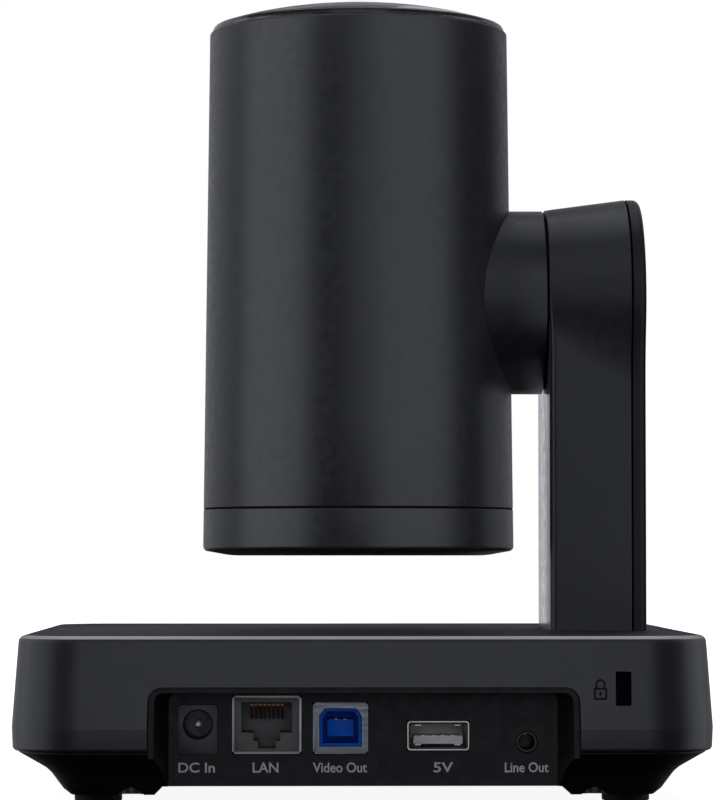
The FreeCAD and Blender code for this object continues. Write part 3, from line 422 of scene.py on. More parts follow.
CAD_MATS = {
    "rubber_feet": M_RUBBER, "base_screws": M_BLACKST, "connector_tray": M_TRAY, "dc_inlet_body": M_PORT, "dc_inlet_pin": M_PIN,
    "network_jack_shield": M_SHIELD, "network_jack_insert": M_RJ, "network_jack_contacts": M_COPPER, "usb_b_shell": M_USBB, "usb_b_tongue": M_BLUE,
    "usb_a_shell": M_USBSH, "usb_a_tongue": M_TONGUE, "audio_jack": M_PORT, "ir_window": M_WINDOW, "status_light_pipe": M_PIPE,
    "ballast_plate": M_STEEL, "tripod_insert": M_BRASS, "main_board": M_BOARD, "main_board_parts": M_PARTS, "pan_chassis": M_ALU,
    "pan_bearing_outer_ring": M_BRIGHT, "pan_motor": M_STEEL, "turntable": M_TURN, "pan_shaft": M_ALU, "pan_retaining_clip": M_BLACKST,
    "pan_gear": M_GEAR, "pan_bearing_inner_ring": M_BRIGHT, "turntable_screws": M_BLACKST, "arm_frame": M_ARM, "arm_outer_cover": M_ARMCOV,
    "arm_screws": M_BLACKST, "tilt_motor": M_STEEL, "tilt_bearing_outer_rings": M_BRIGHT, "head_barrel": M_BARREL, "head_rear_cap": M_CAP,
    "tilt_hub_cover": M_HUB, "hub_screws": M_BLACKST, "tilt_shaft": M_ALU, "tilt_gear": M_GEAR, "tilt_bearing_inner_rings": M_BRIGHT,
    "head_frame": M_ALU, "lens_block_body": M_LENSBODY, "front_lens": M_LENS, "front_mask": M_MASK, "front_glass": M_GLASS,
    "camera_boards": M_BOARD, "guide_rods": M_BRIGHT, "lens_motors": M_STEEL, "pan_pinion": M_BRASS, "tilt_pinion": M_BRASS,
    "pan_bearing_balls": M_BRIGHT, "tilt_bearing_balls": M_BRIGHT, "zoom_screw": M_BRIGHT, "focus_screw": M_BRIGHT,
    "zoom_carriage": M_LENSBODY, "zoom_lens": M_LENS, "focus_carriage": M_LENSBODY, "focus_lens": M_LENS,
    "base_housing": M_HOUSE, "base_bottom_cover": M_COVER}
for n, o in NODES.items():
    mat = CAD_MATS[n]
    if not o.material_slots:
        o.data.materials.append(mat)
    for s in o.material_slots:
        s.material = mat


def stand(o, body, *nodes):
    """o rides on body and is shown in place of the nodes, which are hidden."""
    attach(o, body)
    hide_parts(*nodes)
    return o


def extra(o, body):
    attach(o, body)
    return o


# ------------------------------------------------------------------ head
def hr(z, off=0.0):
    return R_HT + (R_HB - R_HT) * (HEAD_TOP - z) / (HEAD_TOP - HEAD_BOT) + off


S1, S2 = HEAD_SEAM + 0.22, HEAD_SEAM - 0.22
outer = rounded([(hr(S1) - 2.2, S1), (hr(S1), S1, 0.18), (hr(HEAD_TOP), HEAD_TOP, 0.45), (36.45, HEAD_TOP)], 4)
side = [(hr(z), z) for z in (90, 110, 130, 150, 170)]
k = next(i for i, p in enumerate(outer) if p[1] > 100)
barrel_prof = outer[:k] + side + outer[k:] + [(36.45, 188.2), (33.6, 188.2), (33.6, 187.0), (hr(187, -2.2), 187.0), (hr(100, -2.2), 100), (hr(S1) - 2.2, S1 + 0.001)]
barrel_prof = barrel_prof[:-1]
barrel = lathe("barrel_shell", barrel_prof, 192, M_BARREL)
bore = lathe("cut", [(0, 20), (10.5, 20), (10.5, 50), (0, 50)], 64)
to_x(bore)
boolean(barrel, [bore])
stand(barrel, "head", "head_barrel")

cap_prof = [(0, HEAD_BOT + 0.25)] + rounded([(20.0, HEAD_BOT + 0.25), (28.7, HEAD_BOT + 0.25, 0.2), (29.3, HEAD_BOT + 0.01, 0.2), (32.0, HEAD_BOT + 0.01, 23.0),
                                            (hr(HEAD_BOT), HEAD_BOT + 1.3, 1.3), (hr(S2), S2, 0.18), (hr(S2, -2.2), S2)], 8)
cap_prof += [(hr(S2, -2.2), S2 + 3.0), (34.4, S2 + 3.0), (34.4, 61.0), (0, 61.0)]
cap = lathe("rear_cap_shell", cap_prof, 192, M_CAP)
# a ring of blind slots round the underside
vents = []
for i in range(24):
    a = 2 * math.pi * i / 24
    b_ = block("cut", -0.7, 0.7, 21.5, 27.5, 55, 59.2)
    b_.data.transform(Matrix.Rotation(a, 4, "Z"))
    vents.append(b_)
vent = join("cut", vents)
boolean(cap, [vent])
stand(cap, "head", "head_rear_cap")
seam = lathe("seam_line", [(hr(S2, -1.2), S2 - 0.02), (hr(S2, -0.1), S2 - 0.02), (hr(S2, -0.1), S1 + 0.02), (hr(S2, -1.2), S1 + 0.02)], 192, M_GAP)
extra(seam, "head")


gp = rounded([(0, 194.45), (20.0, 194.45, 98.0), (33.4, 190.3, 0.4), (33.4, 188.26), (36.25, 188.26), (36.25, 189.66), (37.15, 189.66, 0.06),
              (36.5, 191.22, 0.9), (20.5, 196.17, 100.0), (0, 196.17)], 12)
glass_o = lathe("front_glass_dome", gp, 192, M_GLASS)
stand(glass_o, "head", "front_glass")
ink = lathe("glass_ink_ring", [(24.0, 188.10), (33.3, 188.10), (33.3, 188.19), (24.0, 188.19)], 128, M_MASK)
extra(ink, "head")

# hub: a round boss that meets the barrel in a saddle line
N = 160
rings = []


def saddle(y, z, off=0.0):
    r = hr(z) + off
    return math.sqrt(max(1.0, r * r - y * y))


def ring_at(r, u):
    return [(-u, r * math.cos(2 * math.pi * i / N), TILT_Z + r * math.sin(2 * math.pi * i / N)) for i in range(N)]


r_in = HUB_R - 2.2
inner_saddle = [(-saddle(y, z, 0.06), y, z) for _, y, z in ring_at(r_in, 0)]
outer_saddle = [(-saddle(y, z, 0.06), y, z) for _, y, z in ring_at(HUB_R, 0)]
outer_mid = [(-(saddle(y, z, 0.06) * 0.5 + 44.0 * 0.5), y, z) for _, y, z in ring_at(HUB_R, 0)]
rings = [inner_saddle, outer_saddle, outer_mid, ring_at(HUB_R, HUB_END - 0.35), ring_at(HUB_R - 0.05, HUB_END - 0.18), ring_at(HUB_R - 0.16, HUB_END - 0.05),
         ring_at(HUB_R - 0.35, HUB_END), ring_at(15, HUB_END), ring_at(7.9, HUB_END), ring_at(7.9, 44.4), ring_at(15, 44.4), ring_at(r_in, 44.4)]
bm = bmesh.new()
vs = [[bm.verts.new((x * MM, y * MM, z * MM)) for x, y, z in r] for r in rings]
for a, b in zip(vs, vs[1:] + vs[:1]):
    for i in range(N):
        j = (i + 1) % N
        bm.faces.new((a[i], a[j], b[j], b[i]))
hub = make("hub_shell", bm, 40, M_HUB)
stand(hub, "head", "tilt_hub_cover")
gap = lathe("hub_gap_ring", [(8.2, 46.45), (21.9, 46.45), (21.9, 46.75), (8.2, 46.75)], 96, M_GAP)
to_x(gap)
extra(gap, "head")


# ------------------------------------------------------------------ arm
def arm_outline(r, p, zb, q=50.0, na=96, nb=10, ns=14):
    """Closed outline (y, z) with fixed point count: round head, hollow fillet, straight post."""
    h = math.sqrt(max(0.0, (r - p) * (r + p + 2 * q)))
    a = math.asin(h / (r + q))
    pts = [(r * math.cos(t), TILT_Z + r * math.sin(t)) for t in [-a + (math.pi + 2 * a) * i / na for i in range(na + 1)]]
    left = []
    for i in range(1, nb + 1):
        t = a * (1 - i / nb)
        left.append((-(p + q - q * math.cos(t)), TILT_Z - h + q * math.sin(t)))
    zt = TILT_Z - h
    for i in range(1, ns + 1):
        left.append((-p, zt + (zb - zt) * i / ns))
    right = [(-y, z) for y, z in reversed(left)]
    return pts + left + right


def inset(pts, d):
    """Moves each outline point inward by d[i]; arm_rings puts the bottom edge back on its line."""
    n = len(pts)
    out = []
    for i, (y, z) in enumerate(pts):
        y0, z0 = pts[i - 1]
        y1, z1 = pts[(i + 1) % n]
        ty, tz = y1 - y0, z1 - z0
        L = math.hypot(ty, tz)
        ny, nz = -tz / L, ty / L          # inward for a counter-clockwise outline
        out.append((y + ny * d[i], z + nz * d[i]))
    return out


def arm_rings(u, r, p, zb, dep):
    o = arm_outline(r, p, zb)
    zmin = zb + 1e-6
    ins = inset(o, dep if isinstance(dep, list) else [dep] * len(o))
    fixed = [(y, max(z, zb)) if i else (y, z) for i, (y, z) in enumerate(ins)]
    fixed = [((y if abs(oz - zb) > 1e-6 else (abs(oy) - (dep[i] if isinstance(dep, list) else dep)) * (1 if oy > 0 else -1)), (z if abs(oz - zb) > 1e-6 else zb))
             for i, ((y, z), (oy, oz)) in enumerate(zip(fixed, o))]
    return [(-u, y, z) for y, z in fixed]


ZB = BASE_TOP + 0.03


def blend_w(z, z0, z1):
    t = max(0.0, min(1.0, (z - z0) / (z1 - z0)))
    return t * t * (3 - 2 * t)


def conic(u):
    return R_IN + (R_OUT - R_IN) * (u - ARM_IN) / (ARM_SEAM - ARM_IN)


base_out = arm_outline(R_IN, POST, ZB)
# edge radius on the inner side: crisp round the boss, 1.6 mm down the post
edge_r = [0.35 + 1.35 * (1 - blend_w(z, TILT_Z - 12, TILT_Z + 2)) for y, z in base_out]
KF = 8
rings = []
# from the inner face (t = 90 deg) out to the side (t = 0)
t_list = [math.pi / 2 * (1 - i / KF) for i in range(KF + 1)]
for t in t_list:
    o = arm_outline(R_IN, POST, ZB)
    dep = [e * (1 - math.cos(t)) for e in edge_r]
    ins = arm_rings(0, R_IN, POST, ZB, dep)
    rings.append([(-(ARM_IN + e * (1 - math.sin(t))), y, z) for e, (_, y, z) in zip(edge_r, ins)])
for u in (48.85, 51.0, 54.5, 58.5, 62.5, 65.4, 66.7):
    rings.append(arm_rings(u, conic(u), POST, ZB, 0.0))
for du, d in ((0.10, 0.0), (0.06, 0.03), (0.02, 0.09), (0.0, 0.16)):
    rings.append(arm_rings(ARM_SEAM - 0.02 - du, conic(ARM_SEAM), POST, ZB, d))
rings.append(arm_rings(ARM_SEAM - 0.02, conic(ARM_SEAM), POST, ZB, 1.6))
cav_zb = ZB + 2.2
for u in (62.0, 55.0, ARM_IN + 1.9):
    o = arm_outline(conic(u) - 1.7, POST - 1.7, cav_zb)
    rings.append([(-u, y, z) for y, z in o])
rings[-4] = [(-(ARM_SEAM - 0.02), y, z) for y, z in arm_outline(conic(ARM_SEAM) - 1.7, POST - 1.7, cav_zb)]
bm = rings_to_bm(rings)
arm = make("arm_shell", bm, 38, M_ARM)
c1 = lathe("cut", [(0, 40), (8.2, 40), (8.2, 60), (0, 60)], 64)
to_x(c1)
c2 = block("cut", -62, -51, -9, 9, 36, 44)
boolean(arm, [c1, c2], angle=38)
# the inner face toward the head takes the lighter painted-reflection material
arm.data.materials.append(M_ARM_INNER_PAINTED_REFLECTION)
for f in arm.data.polygons:
    if f.normal.x > 0.9 and f.center.x / MM > -(ARM_IN + 0.4):
        f.material_index = 1
stand(arm, "platform", "arm_frame")
nose = lathe("arm_bearing_sleeve", [(12.05, 49.0), (13.9, 49.0), (13.9, 60.2), (12.05, 60.2)], 96, M_ARM)
to_x(nose)
extra(nose, "platform")

# outer cover: a plate with a rounded rim, and a dark shadow gap in front of it
rings = []
GAP0, GAP1 = ARM_SEAM, ARM_SEAM + 0.42
rings.append(arm_rings(GAP1, R_OUT, POST, ZB, 0.20))
for du, d in ((0.02, 0.10), (0.07, 0.03), (0.14, 0.0)):
    rings.append(arm_rings(GAP1 + du, R_OUT, POST, ZB, d))
RF = 1.55
rings.append(arm_rings(GAP1 + 0.3, R_OUT, POST, ZB, 0.0))
rings.append(arm_rings(ARM_OUT - RF - 0.15, R_OUT, POST, ZB, 0.0))
for i in range(9):
    t = math.pi / 2 * i / 8
    rings.append(arm_rings(ARM_OUT - RF + RF * math.sin(t), R_OUT, POST, ZB, RF * (1 - math.cos(t))))
rings.append(arm_rings(ARM_OUT, R_OUT, POST, ZB, 6.0))
bm = rings_to_bm(rings)
cov = make("arm_cover_shell", bm, 38, M_ARMCOV)
stand(cov, "platform", "arm_outer_cover")
rings = [arm_rings(u, R_OUT, POST, ZB, 0.75) for u in (ARM_SEAM - 0.3, GAP1 + 0.1)]
gapring = make("arm_shadow_gap", rings_to_bm(rings), 38, M_GAP)
extra(gapring, "platform")


# ------------------------------------------------------------------ base
def pad_ring(r, z, n=18, ns=12):
    """Rounded square ring, counter-clockwise seen from above, with points along the straights."""
    out = []
    for q, (sx, sy) in enumerate(((1, 1), (-1, 1), (-1, -1), (1, -1))):
        cx, cy = sx * A0, sy * B0
        a0 = 90 * q
        cor = [(cx + r * math.cos(math.radians(a0 + 90 * i / n)), cy + r * math.sin(math.radians(a0 + 90 * i / n)), z) for i in range(n + 1)]
        out += cor
        nx, ny = ((-1, 1), (-1, -1), (1, -1), (1, 1))[q]
        a1 = math.radians(a0 + 90)
        nxt = (nx * A0 + r * math.cos(a1), ny * B0 + r * math.sin(a1))
        last = cor[-1]
        for i in range(1, ns):
            t = i / ns
            out.append((last[0] + (nxt[0] - last[0]) * t, last[1] + (nxt[1] - last[1]) * t, z))
    return out


def circle_like(ring, r, z):
    out = []
    for x, y, _ in ring:
        L = math.hypot(x, y)
        out.append((x / L * r, y / L * r, z))
    return out


prof = rounded([(14.6, SEAM + 0.03), (16.75, SEAM + 0.03, 1.1), (17.0, WIDEST_Z, 0.6), (R_TOP, BASE_TOP, 1.7), (11.6, BASE_TOP)], 6)
k = next(i for i, p in enumerate(prof) if p[1] > 30)
prof = prof[:k] + [(17.0 + (R_TOP - 17.0) * (z - WIDEST_Z) / (BASE_TOP - WIDEST_Z), z) for z in (23, 28, 33, 37.0)] + prof[k:]
rings = [pad_ring(r, z) for r, z in prof]
ref = rings[0]
lip = [(TURN_R + 0.55 + 0.3, BASE_TOP), (TURN_R + 0.55 + 0.09, BASE_TOP - 0.09), (TURN_R + 0.55, BASE_TOP - 0.3), (TURN_R + 0.55, 35.6), (69.0, 35.6), (69.0, 33.6)]
ref_top = pad_ring(11.6, BASE_TOP)
rings += [circle_like(ref_top, r, z) for r, z in lip]
rings += [pad_ring(13.6, 33.6), pad_ring(14.6, WIDEST_Z)]
bm = bmesh.new()
vs = [[bm.verts.new((x * MM, y * MM, z * MM)) for x, y, z in r] for r in rings]
n = len(rings[0])
for a, b in zip(vs, vs[1:] + vs[:1]):
    for i in range(n):
        j = (i + 1) % n
        bm.faces.new((a[i], a[j], b[j], b[i]))
house = make("housing_shell", bm, 30, M_HOUSE)


def recess_half(y, e):
    return RECESS_IN + (48.7 - 45.2) / 11.5 * (y - PANEL_Y) + e


def recess_top(y, e):
    return 25.7 + 0.5 * (y - PANEL_Y) / 11.5 + e


def recess_body(name, e, y0, y1, zb, material=None, rc=2.0):
    rr = []
    for y in (y0, y1):
        h, t = recess_half(y, e), recess_top(y, e)
        ring = [(-h, zb), (h, zb)] + arc(h - rc - e, t - rc - e, rc + e, 0, 90, 8) + arc(-h + rc + e, t - rc - e, rc + e, 90, 180, 8)
        rr.append([(x, y, z) for x, z in ring])
    return make(name, rings_to_bm(rr), 32, material)


cut = [recess_body("cut", 1.3, 66.0, 90.0, -3.0)]
cut.append(prism("cut", rrect(LOCK[0], LOCK[1], 3.64, 7.9, 0.45), 70, 90))
boolean(house, cut, angle=30)
cut = [prism("cut", rrect(0, 25.5, 38.2, 9.2, 2.1, 8), -95, -70), prism("cut", rrect(0, 15.3, 16.2, 2.0, 0.95, 8), -95, -70)]
boolean(house, cut, angle=30)
house.data.materials.append(M_RECESS_PAINTED_SHADE)
house.data.materials.append(M_EDGE_PAINTED_HIGHLIGHT)
for f in house.data.polygons:
    c, nn = f.center / MM, f.normal
    # walls inside the connector recess take the painted shade
    if c.y > PANEL_Y - 5 and c.z < 27.8 and abs(c.x) < 51.5 and (abs(c.x) < 49.9 or c.z < 26.9) and abs(nn.y) < 0.5 and (c.z > 13 or abs(c.x) < 50.5) and c.y < B0 + 16.9:
        f.material_index = 1
    # faces of the top rear fillet outside the turntable take the painted highlight line
    elif c.z > BASE_TOP - 0.62 and c.z < BASE_TOP - 0.02 and 0.5 < nn.z < 0.97 and math.hypot(c.x, c.y) > TURN_R + 1.2:
        f.material_index = 2
    elif c.z > BASE_TOP - 0.03 and nn.z > 0.99:
        f.material_index = 3
house.data.materials.append(M_TOP)
stand(house, "base", "base_housing")

# bottom cover
prof = rounded([(0.5, SKID_Z), (3.0, SKID_Z, 0.5), (4.9, 3.5, 1.5), (8.3, 8.0, 8.0), (15.3, 12.0, 0.2), (15.3, SEAM - 0.04)], 6)
rings = [pad_ring(r, z) for r, z in prof] + [pad_ring(10.8, SEAM - 0.04), pad_ring(6.4, 10.4), pad_ring(2.0, 5.9)]
bm = rings_to_bm(rings)
bottom = make("bottom_shell", bm, 30, M_COVER)
ch = prism("cut", [(-48.6, -1), (48.6, -1), (48.6, SKID_Z), (46.5, FLOOR_Z), (-46.5, FLOOR_Z), (-48.6, SKID_Z)], -95, 95)
cutters = [ch, recess_body("cut", 1.5, 67.9, 95, -3.0)]
for sx in (-1, 1):
    for sy in (-1, 1):
        cutters.append(lathe("cut", [(0, 0), (3.2, 0), (3.2, 4.0), (1.7, 4.0), (1.7, 12), (0, 12)], 48, None, sx * 54.0, sy * 66.0))
        cutters.append(lathe("cut", [(0, 1), (2.55, 1), (2.55, 4.0), (0, 4.0)], 40, None, sx * 62.2, sy * 56.0))
for x in (-35, 35):
    for y in (-20, 20):
        cutters.append(lathe("cut", [(0, 1), (3.25, 1), (3.25, 8), (0, 8)], 40, None, x, y))
cutters.append(lathe("cut", [(0, 1), (6.05, 1), (6.05, 8), (0, 8)], 64))
for c_ in cutters:
    boolean(bottom, [c_], angle=30)
stand(bottom, "base", "base_bottom_cover")

# feet with a turned rim and a shallow dished face
feet = []
for sx in (-1, 1):
    for sy in (-1, 1):
        pr = [(0, 0.35), (4.0, 0.3), (4.4, 0.02)] + rounded([(4.4, 0.0), (5.6, 0.0, 0.45), (5.6, SKID_Z, 0.12), (5.0, SKID_Z)], 5)[1:] + [(2.45, SKID_Z), (2.45, 3.85), (0, 3.85)]
        feet.append(lathe("foot", pr, 64, None, sx * 62.2, sy * 56.0))
feet = join("rubber_feet_turned", feet, M_RUBBER)
stand(feet, "base", "rubber_feet")

# turntable with a crisp chamfer and a fine machined step
tp = [(0, 36.2), (66.0, 36.2), (66.0, 32.25), (68.2, 32.25), (68.2, 36.2), (TURN_R - 0.1, 36.2)] + rounded([(TURN_R - 0.05, 36.2), (TURN_R, 36.4), (TURN_R, BASE_TOP, 0.4), (70, BASE_TOP)], 4)[1:] + [(0, BASE_TOP)]
turn = lathe("turntable_disc", tp, 192, M_TURN)
c2 = block("cut", -61.9, -51.1, -8.9, 8.9, 30, 44)
boolean(turn, [c2], angle=30)
stand(turn, "platform", "turntable")


# ------------------------------------------------------------------ connector recess
def remat(o, m):
    o.data.materials.clear()
    o.data.materials.append(m)
    o.data.polygons.foreach_set("material_index", [0] * len(o.data.polygons))
    return o


tray = NODES["connector_tray"]

# barrel power socket: a flush block with a stepped round mouth and a solid centre pin
dcb = prism("dc_block", rrect(DC[0], (11.75 + DC[1] + 5.5) / 2, 9.0, DC[1] + 5.5 - 11.75, 0.35), PANEL_Y - 13.0, PANEL_Y + 0.58, bevel=0.22)
mouth = lathe("cut", [(0, -1), (4.2, -1), (3.15, 0.6), (3.15, 10.0), (0, 10.0)], 64)
mouth.data.transform(Matrix.Translation((DC[0] * MM, (PANEL_Y + 0.6) * MM, 18.5 * MM)) @ Matrix.Rotation(math.radians(90), 4, "X"))
boolean(dcb, [mouth])
stand(remat(dcb, M_PORT), "base", "dc_inlet_body")

# network jack: formed shield round a stepped plastic mouth
x, zt, zb = RJ[0], RJ[1] + 6.7, 11.75
sh = prism("jack_shield", rrect(x, (zt + zb) / 2, 16.0, zt - zb, 0.5), PANEL_Y - 15.3, PANEL_Y + 0.68, bevel=0.3)
inn = prism("cut", rrect(x, (zt + zb) / 2, 15.1, zt - zb - 0.9, 0.2), PANEL_Y - 14.9, PANEL_Y + 5)
boolean(sh, [inn])
stand(remat(sh, M_SHIELD), "base", "network_jack_shield")
zbm = RJ[1] - 6.75
ins = prism("jack_insert", rrect(x, (zt + zb) / 2, 15.04, zt - zb - 0.96, 0.2), PANEL_Y - 14.8, PANEL_Y + 0.3, bevel=0.15)
mouth_pts = [(x - 5.9, zt - 1.5), (x - 5.9, zbm + 4.9), (x - 3.1, zbm + 4.9), (x - 3.1, zbm + 3.0), (x - 2.05, zbm + 3.0), (x - 2.05, zbm + 1.2),
             (x + 2.05, zbm + 1.2), (x + 2.05, zbm + 3.0), (x + 3.1, zbm + 3.0), (x + 3.1, zbm + 4.9), (x + 5.9, zbm + 4.9), (x + 5.9, zt - 1.5)]
mc = prism("cut", mouth_pts, PANEL_Y - 12.5, PANEL_Y + 5)
boolean(ins, [mc])
stand(remat(ins, M_RJ), "base", "network_jack_insert")
pins = []
for i in range(8):
    px = x - 3.57 + 1.02 * i
    path = [(PANEL_Y - 12.4, zt - 1.75), (PANEL_Y - 1.2, zt - 1.75), (PANEL_Y - 0.7, zt - 1.95), (PANEL_Y - 0.75, zt - 2.3), (PANEL_Y - 1.3, zt - 2.6),
            (PANEL_Y - 9.6, zt - 5.6), (PANEL_Y - 10.4, zt - 5.5)]
    rr = []
    for j, (y, z) in enumerate(path):
        p0 = path[max(0, j - 1)]
        p1 = path[min(len(path) - 1, j + 1)]
        ty, tz = p1[0] - p0[0], p1[1] - p0[1]
        Ln = math.hypot(ty, tz)
        ny, nz = -tz / Ln * 0.11, ty / Ln * 0.11
        rr.append([(px - 0.3, y + ny, z + nz), (px + 0.3, y + ny, z + nz), (px + 0.3, y - ny, z - nz), (px - 0.3, y - ny, z - nz)])
    pins.append(make("pin", rings_to_bm(rr), 30))
stand(join("jack_contacts", pins, M_COPPER), "base", "network_jack_contacts")


# USB-B: tall shell with chamfered upper corners and a blue core
def house_pts(x, z, hw, zl, zm, zh, hx):
    return [(x - hw, z + zl), (x + hw, z + zl), (x + hw, z + zm), (x + hx, z + zh), (x - hx, z + zh), (x - hw, z + zm)]


x, zc = UB
sh = prism("usb_b_shell_formed", rrect(x, (zc + 5.5 + 11.75) / 2, 12.8, zc + 5.5 - 11.75, 0.6), PANEL_Y - 15.9, PANEL_Y + 0.76, bevel=0.3)
boolean(sh, [prism("cut", house_pts(x, zc, 4.95, -4.75, 2.45, 4.15, 3.65), PANEL_Y - 12, PANEL_Y + 5)])
stand(remat(sh, M_USBB), "base", "usb_b_shell")
lin = prism("usb_b_liner", house_pts(x, zc, 4.85, -4.65, 2.38, 4.05, 3.58), PANEL_Y - 11.9, PANEL_Y - 0.1, bevel=0.05)
boolean(lin, [prism("cut", house_pts(x, zc, 4.15, -4.0, 2.0, 3.45, 3.05), PANEL_Y - 10, PANEL_Y + 5)])
core = prism("usb_b_core", rrect(x, zc - 0.4, 6.0, 3.9, 0.3), PANEL_Y - 10.6, PANEL_Y - 0.4, bevel=0.1)
stand(join("usb_b_core_blue", [lin, core], M_BLUE), "base", "usb_b_tongue")
pins = []
for i in range(2):
    for s in (-1, 1):
        px = x - 1.0 + 2.0 * i
        pins.append(block("pin", px - 0.35, px + 0.35, PANEL_Y - 10.2, PANEL_Y - 1.5, zc - 0.4 + s * 1.95 - 0.06, zc - 0.4 + s * 1.95 + 0.08, 0.03))
extra(join("usb_b_contacts", pins, M_GOLD), "base")


# USB-A: shell with flared lips, spring fingers and a pale tongue
def ua_ring(y, hx, hz, r, n=5):
    return [(px, y, pz) for px, pz in rrect(UA[0], UA[1], hx * 2, hz * 2, r, n)]


x, zc = UA
outer_r = [ua_ring(56.0, 6.7, 2.95, 0.6), ua_ring(68.7, 6.7, 2.95, 0.6), ua_ring(69.3, 6.75, 3.0, 0.62), ua_ring(70.2, 7.0, 3.22, 0.7), ua_ring(70.85, 7.18, 3.38, 0.75), ua_ring(70.98, 7.16, 3.36, 0.72)]
inner_r = [ua_ring(70.98, 6.92, 3.12, 0.6), ua_ring(70.2, 6.7, 2.92, 0.45), ua_ring(69.3, 6.43, 2.68, 0.35), ua_ring(68.7, 6.36, 2.61, 0.3), ua_ring(57.0, 6.35, 2.6, 0.3)]
bm = rings_to_bm(outer_r + inner_r)
sh = make("usb_a_shell_formed", bm, 35)
nt_ = []
for sx in (-1, 1):
    nt_.append(block("cut", x + sx * 4.6 - 0.9, x + sx * 4.6 + 0.9, 61.5, 67.6, zc + 2.2, zc + 3.5))
    nt_.append(block("cut", x + sx * 4.6 - 0.9, x + sx * 4.6 + 0.9, 61.5, 67.6, zc - 3.5, zc - 2.2))
for c_ in nt_:
    boolean(sh, [c_], angle=35)
fing = []
for sx in (-1, 1):
    for sz in (-1, 1):
        px = x + sx * 4.6
        path = [(61.2, 2.78), (63.0, 2.7), (65.4, 2.05), (66.6, 1.95), (67.3, 2.15)]
        rr = []
        for y, z in path:
            rr.append([(px - 0.7, y, zc + sz * z), (px + 0.7, y, zc + sz * z), (px + 0.7, y, zc + sz * (z + 0.22)), (px - 0.7, y, zc + sz * (z + 0.22))])
        fing.append(make("finger", rings_to_bm(rr), 30))
stand(remat(sh, M_USBSH), "base", "usb_a_shell")
extra(join("usb_a_springs", fing, M_USBSH), "base")
tong = prism("usb_a_tongue_bar", rrect(x, zc - 1.0, 11.4, 1.9, 0.25), 57.1, 69.4, bevel=0.2)
back = block("usb_a_back", x - 6.3, x + 6.3, 57.05, 59.0, zc - 2.55, zc + 2.55, 0.15)
stand(join("usb_a_tongue_set", [tong, back], M_TONGUE), "base", "usb_a_tongue")
pins = [block("pin", px - 0.45, px + 0.45, 60, 69.0, zc - 0.12, zc + 0.05, 0.03) for px in (x - 3.5, x - 1.0, x + 1.0, x + 3.5)]
extra(join("usb_a_contacts", pins, M_GOLD), "base")

# audio jack: rounded sleeve, with a spring contact inside
sl = lathe("audio_sleeve", rounded([(1.8, -3.0), (2.5, -3.0), (2.5, 0.86, 0.25), (1.8, 0.86, 0.25), (1.8, 0.2)], 4), 64)
sl.data.transform(Matrix.Translation((AU[0] * MM, (PANEL_Y) * MM, AU[1] * MM)) @ Matrix.Rotation(math.radians(-90), 4, "X"))
bod = block("audio_body", AU[0] - 3.2, AU[0] + 3.2, 56.0, 68.1, 11.75, AU[1] + 2.7, 0.2)
hole = lathe("cut", [(0, 0), (1.8, 0), (1.8, 20), (0, 20)], 48)
hole.data.transform(Matrix.Translation((AU[0] * MM, 57.5 * MM, AU[1] * MM)) @ Matrix.Rotation(math.radians(-90), 4, "X"))
boolean(bod, [hole])
stand(remat(join("audio_socket", [bod, sl]), M_PORT), "base", "audio_jack")
extra(block("audio_spring", AU[0] - 0.4, AU[0] + 0.4, 60.0, 64.0, AU[1] + 1.25, AU[1] + 1.6, 0.1, material=M_GOLD), "base")

# printed legends under the sockets, and a padlock mark by the lock slot
def legend(text, xc, z, w, h, y=PANEL_Y, material=M_INK, body="base"):
    cu = bpy.data.curves.new("legend_" + text, "FONT")
    cu.body = text
    cu.align_x = "CENTER"
    cu.size = 1.0
    cu.extrude = 0.02
    cu.resolution_u = 4
    cu.offset = 0.016
    o = bpy.data.objects.new("t", cu)
    SC.collection.objects.link(o)
    dg = bpy.context.evaluated_depsgraph_get()
    me = bpy.data.meshes.new_from_object(o.evaluated_get(dg))
    bpy.data.objects.remove(o)
    bpy.data.curves.remove(cu)
    lo = [min(v.co[i] for v in me.vertices) for i in range(3)]
    hi = [max(v.co[i] for v in me.vertices) for i in range(3)]
    bm = bmesh.new()
    bm.from_mesh(me)
    bpy.data.meshes.remove(me)
    for v in bm.verts:
        u = (v.co.x - lo[0]) / (hi[0] - lo[0]) * w - w / 2
        t = (v.co.y - lo[1]) / (hi[1] - lo[1]) * h
        d = (v.co.z - lo[2]) / (hi[2] - lo[2])
        v.co = Vector(((xc - u) * MM, (y - 0.03 + 0.06 * d) * MM, (z + t) * MM))
    bmesh.ops.remove_doubles(bm, verts=bm.verts, dist=1e-7)
    o = make("legend_" + text.lower().replace(" ", "_"), bm, 30, material)
    extra(o, body)
    return o


legend("DC In", DC[0] + 0.3, 7.35, 8.5, 2.35)
legend("LAN", 22.7, 7.35, 6.0, 2.35)
legend("Video Out", 5.4, 7.35, 12.6, 2.35)
legend("5V", UA[0] - 1.2, 7.35, 4.6, 2.35)
legend("Line Out", AU[0], 7.35, 10.2, 2.35)


def rear_y(z):
    return B0 + 17.0 + (R_TOP - 17.0) * (z - WIDEST_Z) / (BASE_TOP - WIDEST_Z)


def decal(name, loops, cx, cz, material, body):
    """Thin raised mark on the sloping rear face; loops are closed outlines (x, z), the first solid, any others its holes."""
    bm = bmesh.new()
    lo, hi = [], []
    n = len(loops[0])
    for d, store in ((-0.05, lo), (0.035, hi)):
        for lp in loops:
            store.append([bm.verts.new(((cx - x) * MM, (rear_y(cz + z) + d) * MM, (cz + z) * MM)) for x, z in lp])
    for L in range(len(loops)):
        for i in range(len(loops[L])):
            j = (i + 1) % len(loops[L])
            bm.faces.new((lo[L][i], lo[L][j], hi[L][j], hi[L][i]))
    if len(loops) == 1:
        bm.faces.new(lo[0])
        bm.faces.new(hi[0])
    else:
        for st in (lo, hi):
            for i in range(n):
                j = (i + 1) % n
                bm.faces.new((st[0][i], st[0][j], st[1][j], st[1][i]))
    o = make(name, bm, 30, material)
    extra(o, body)
    return o


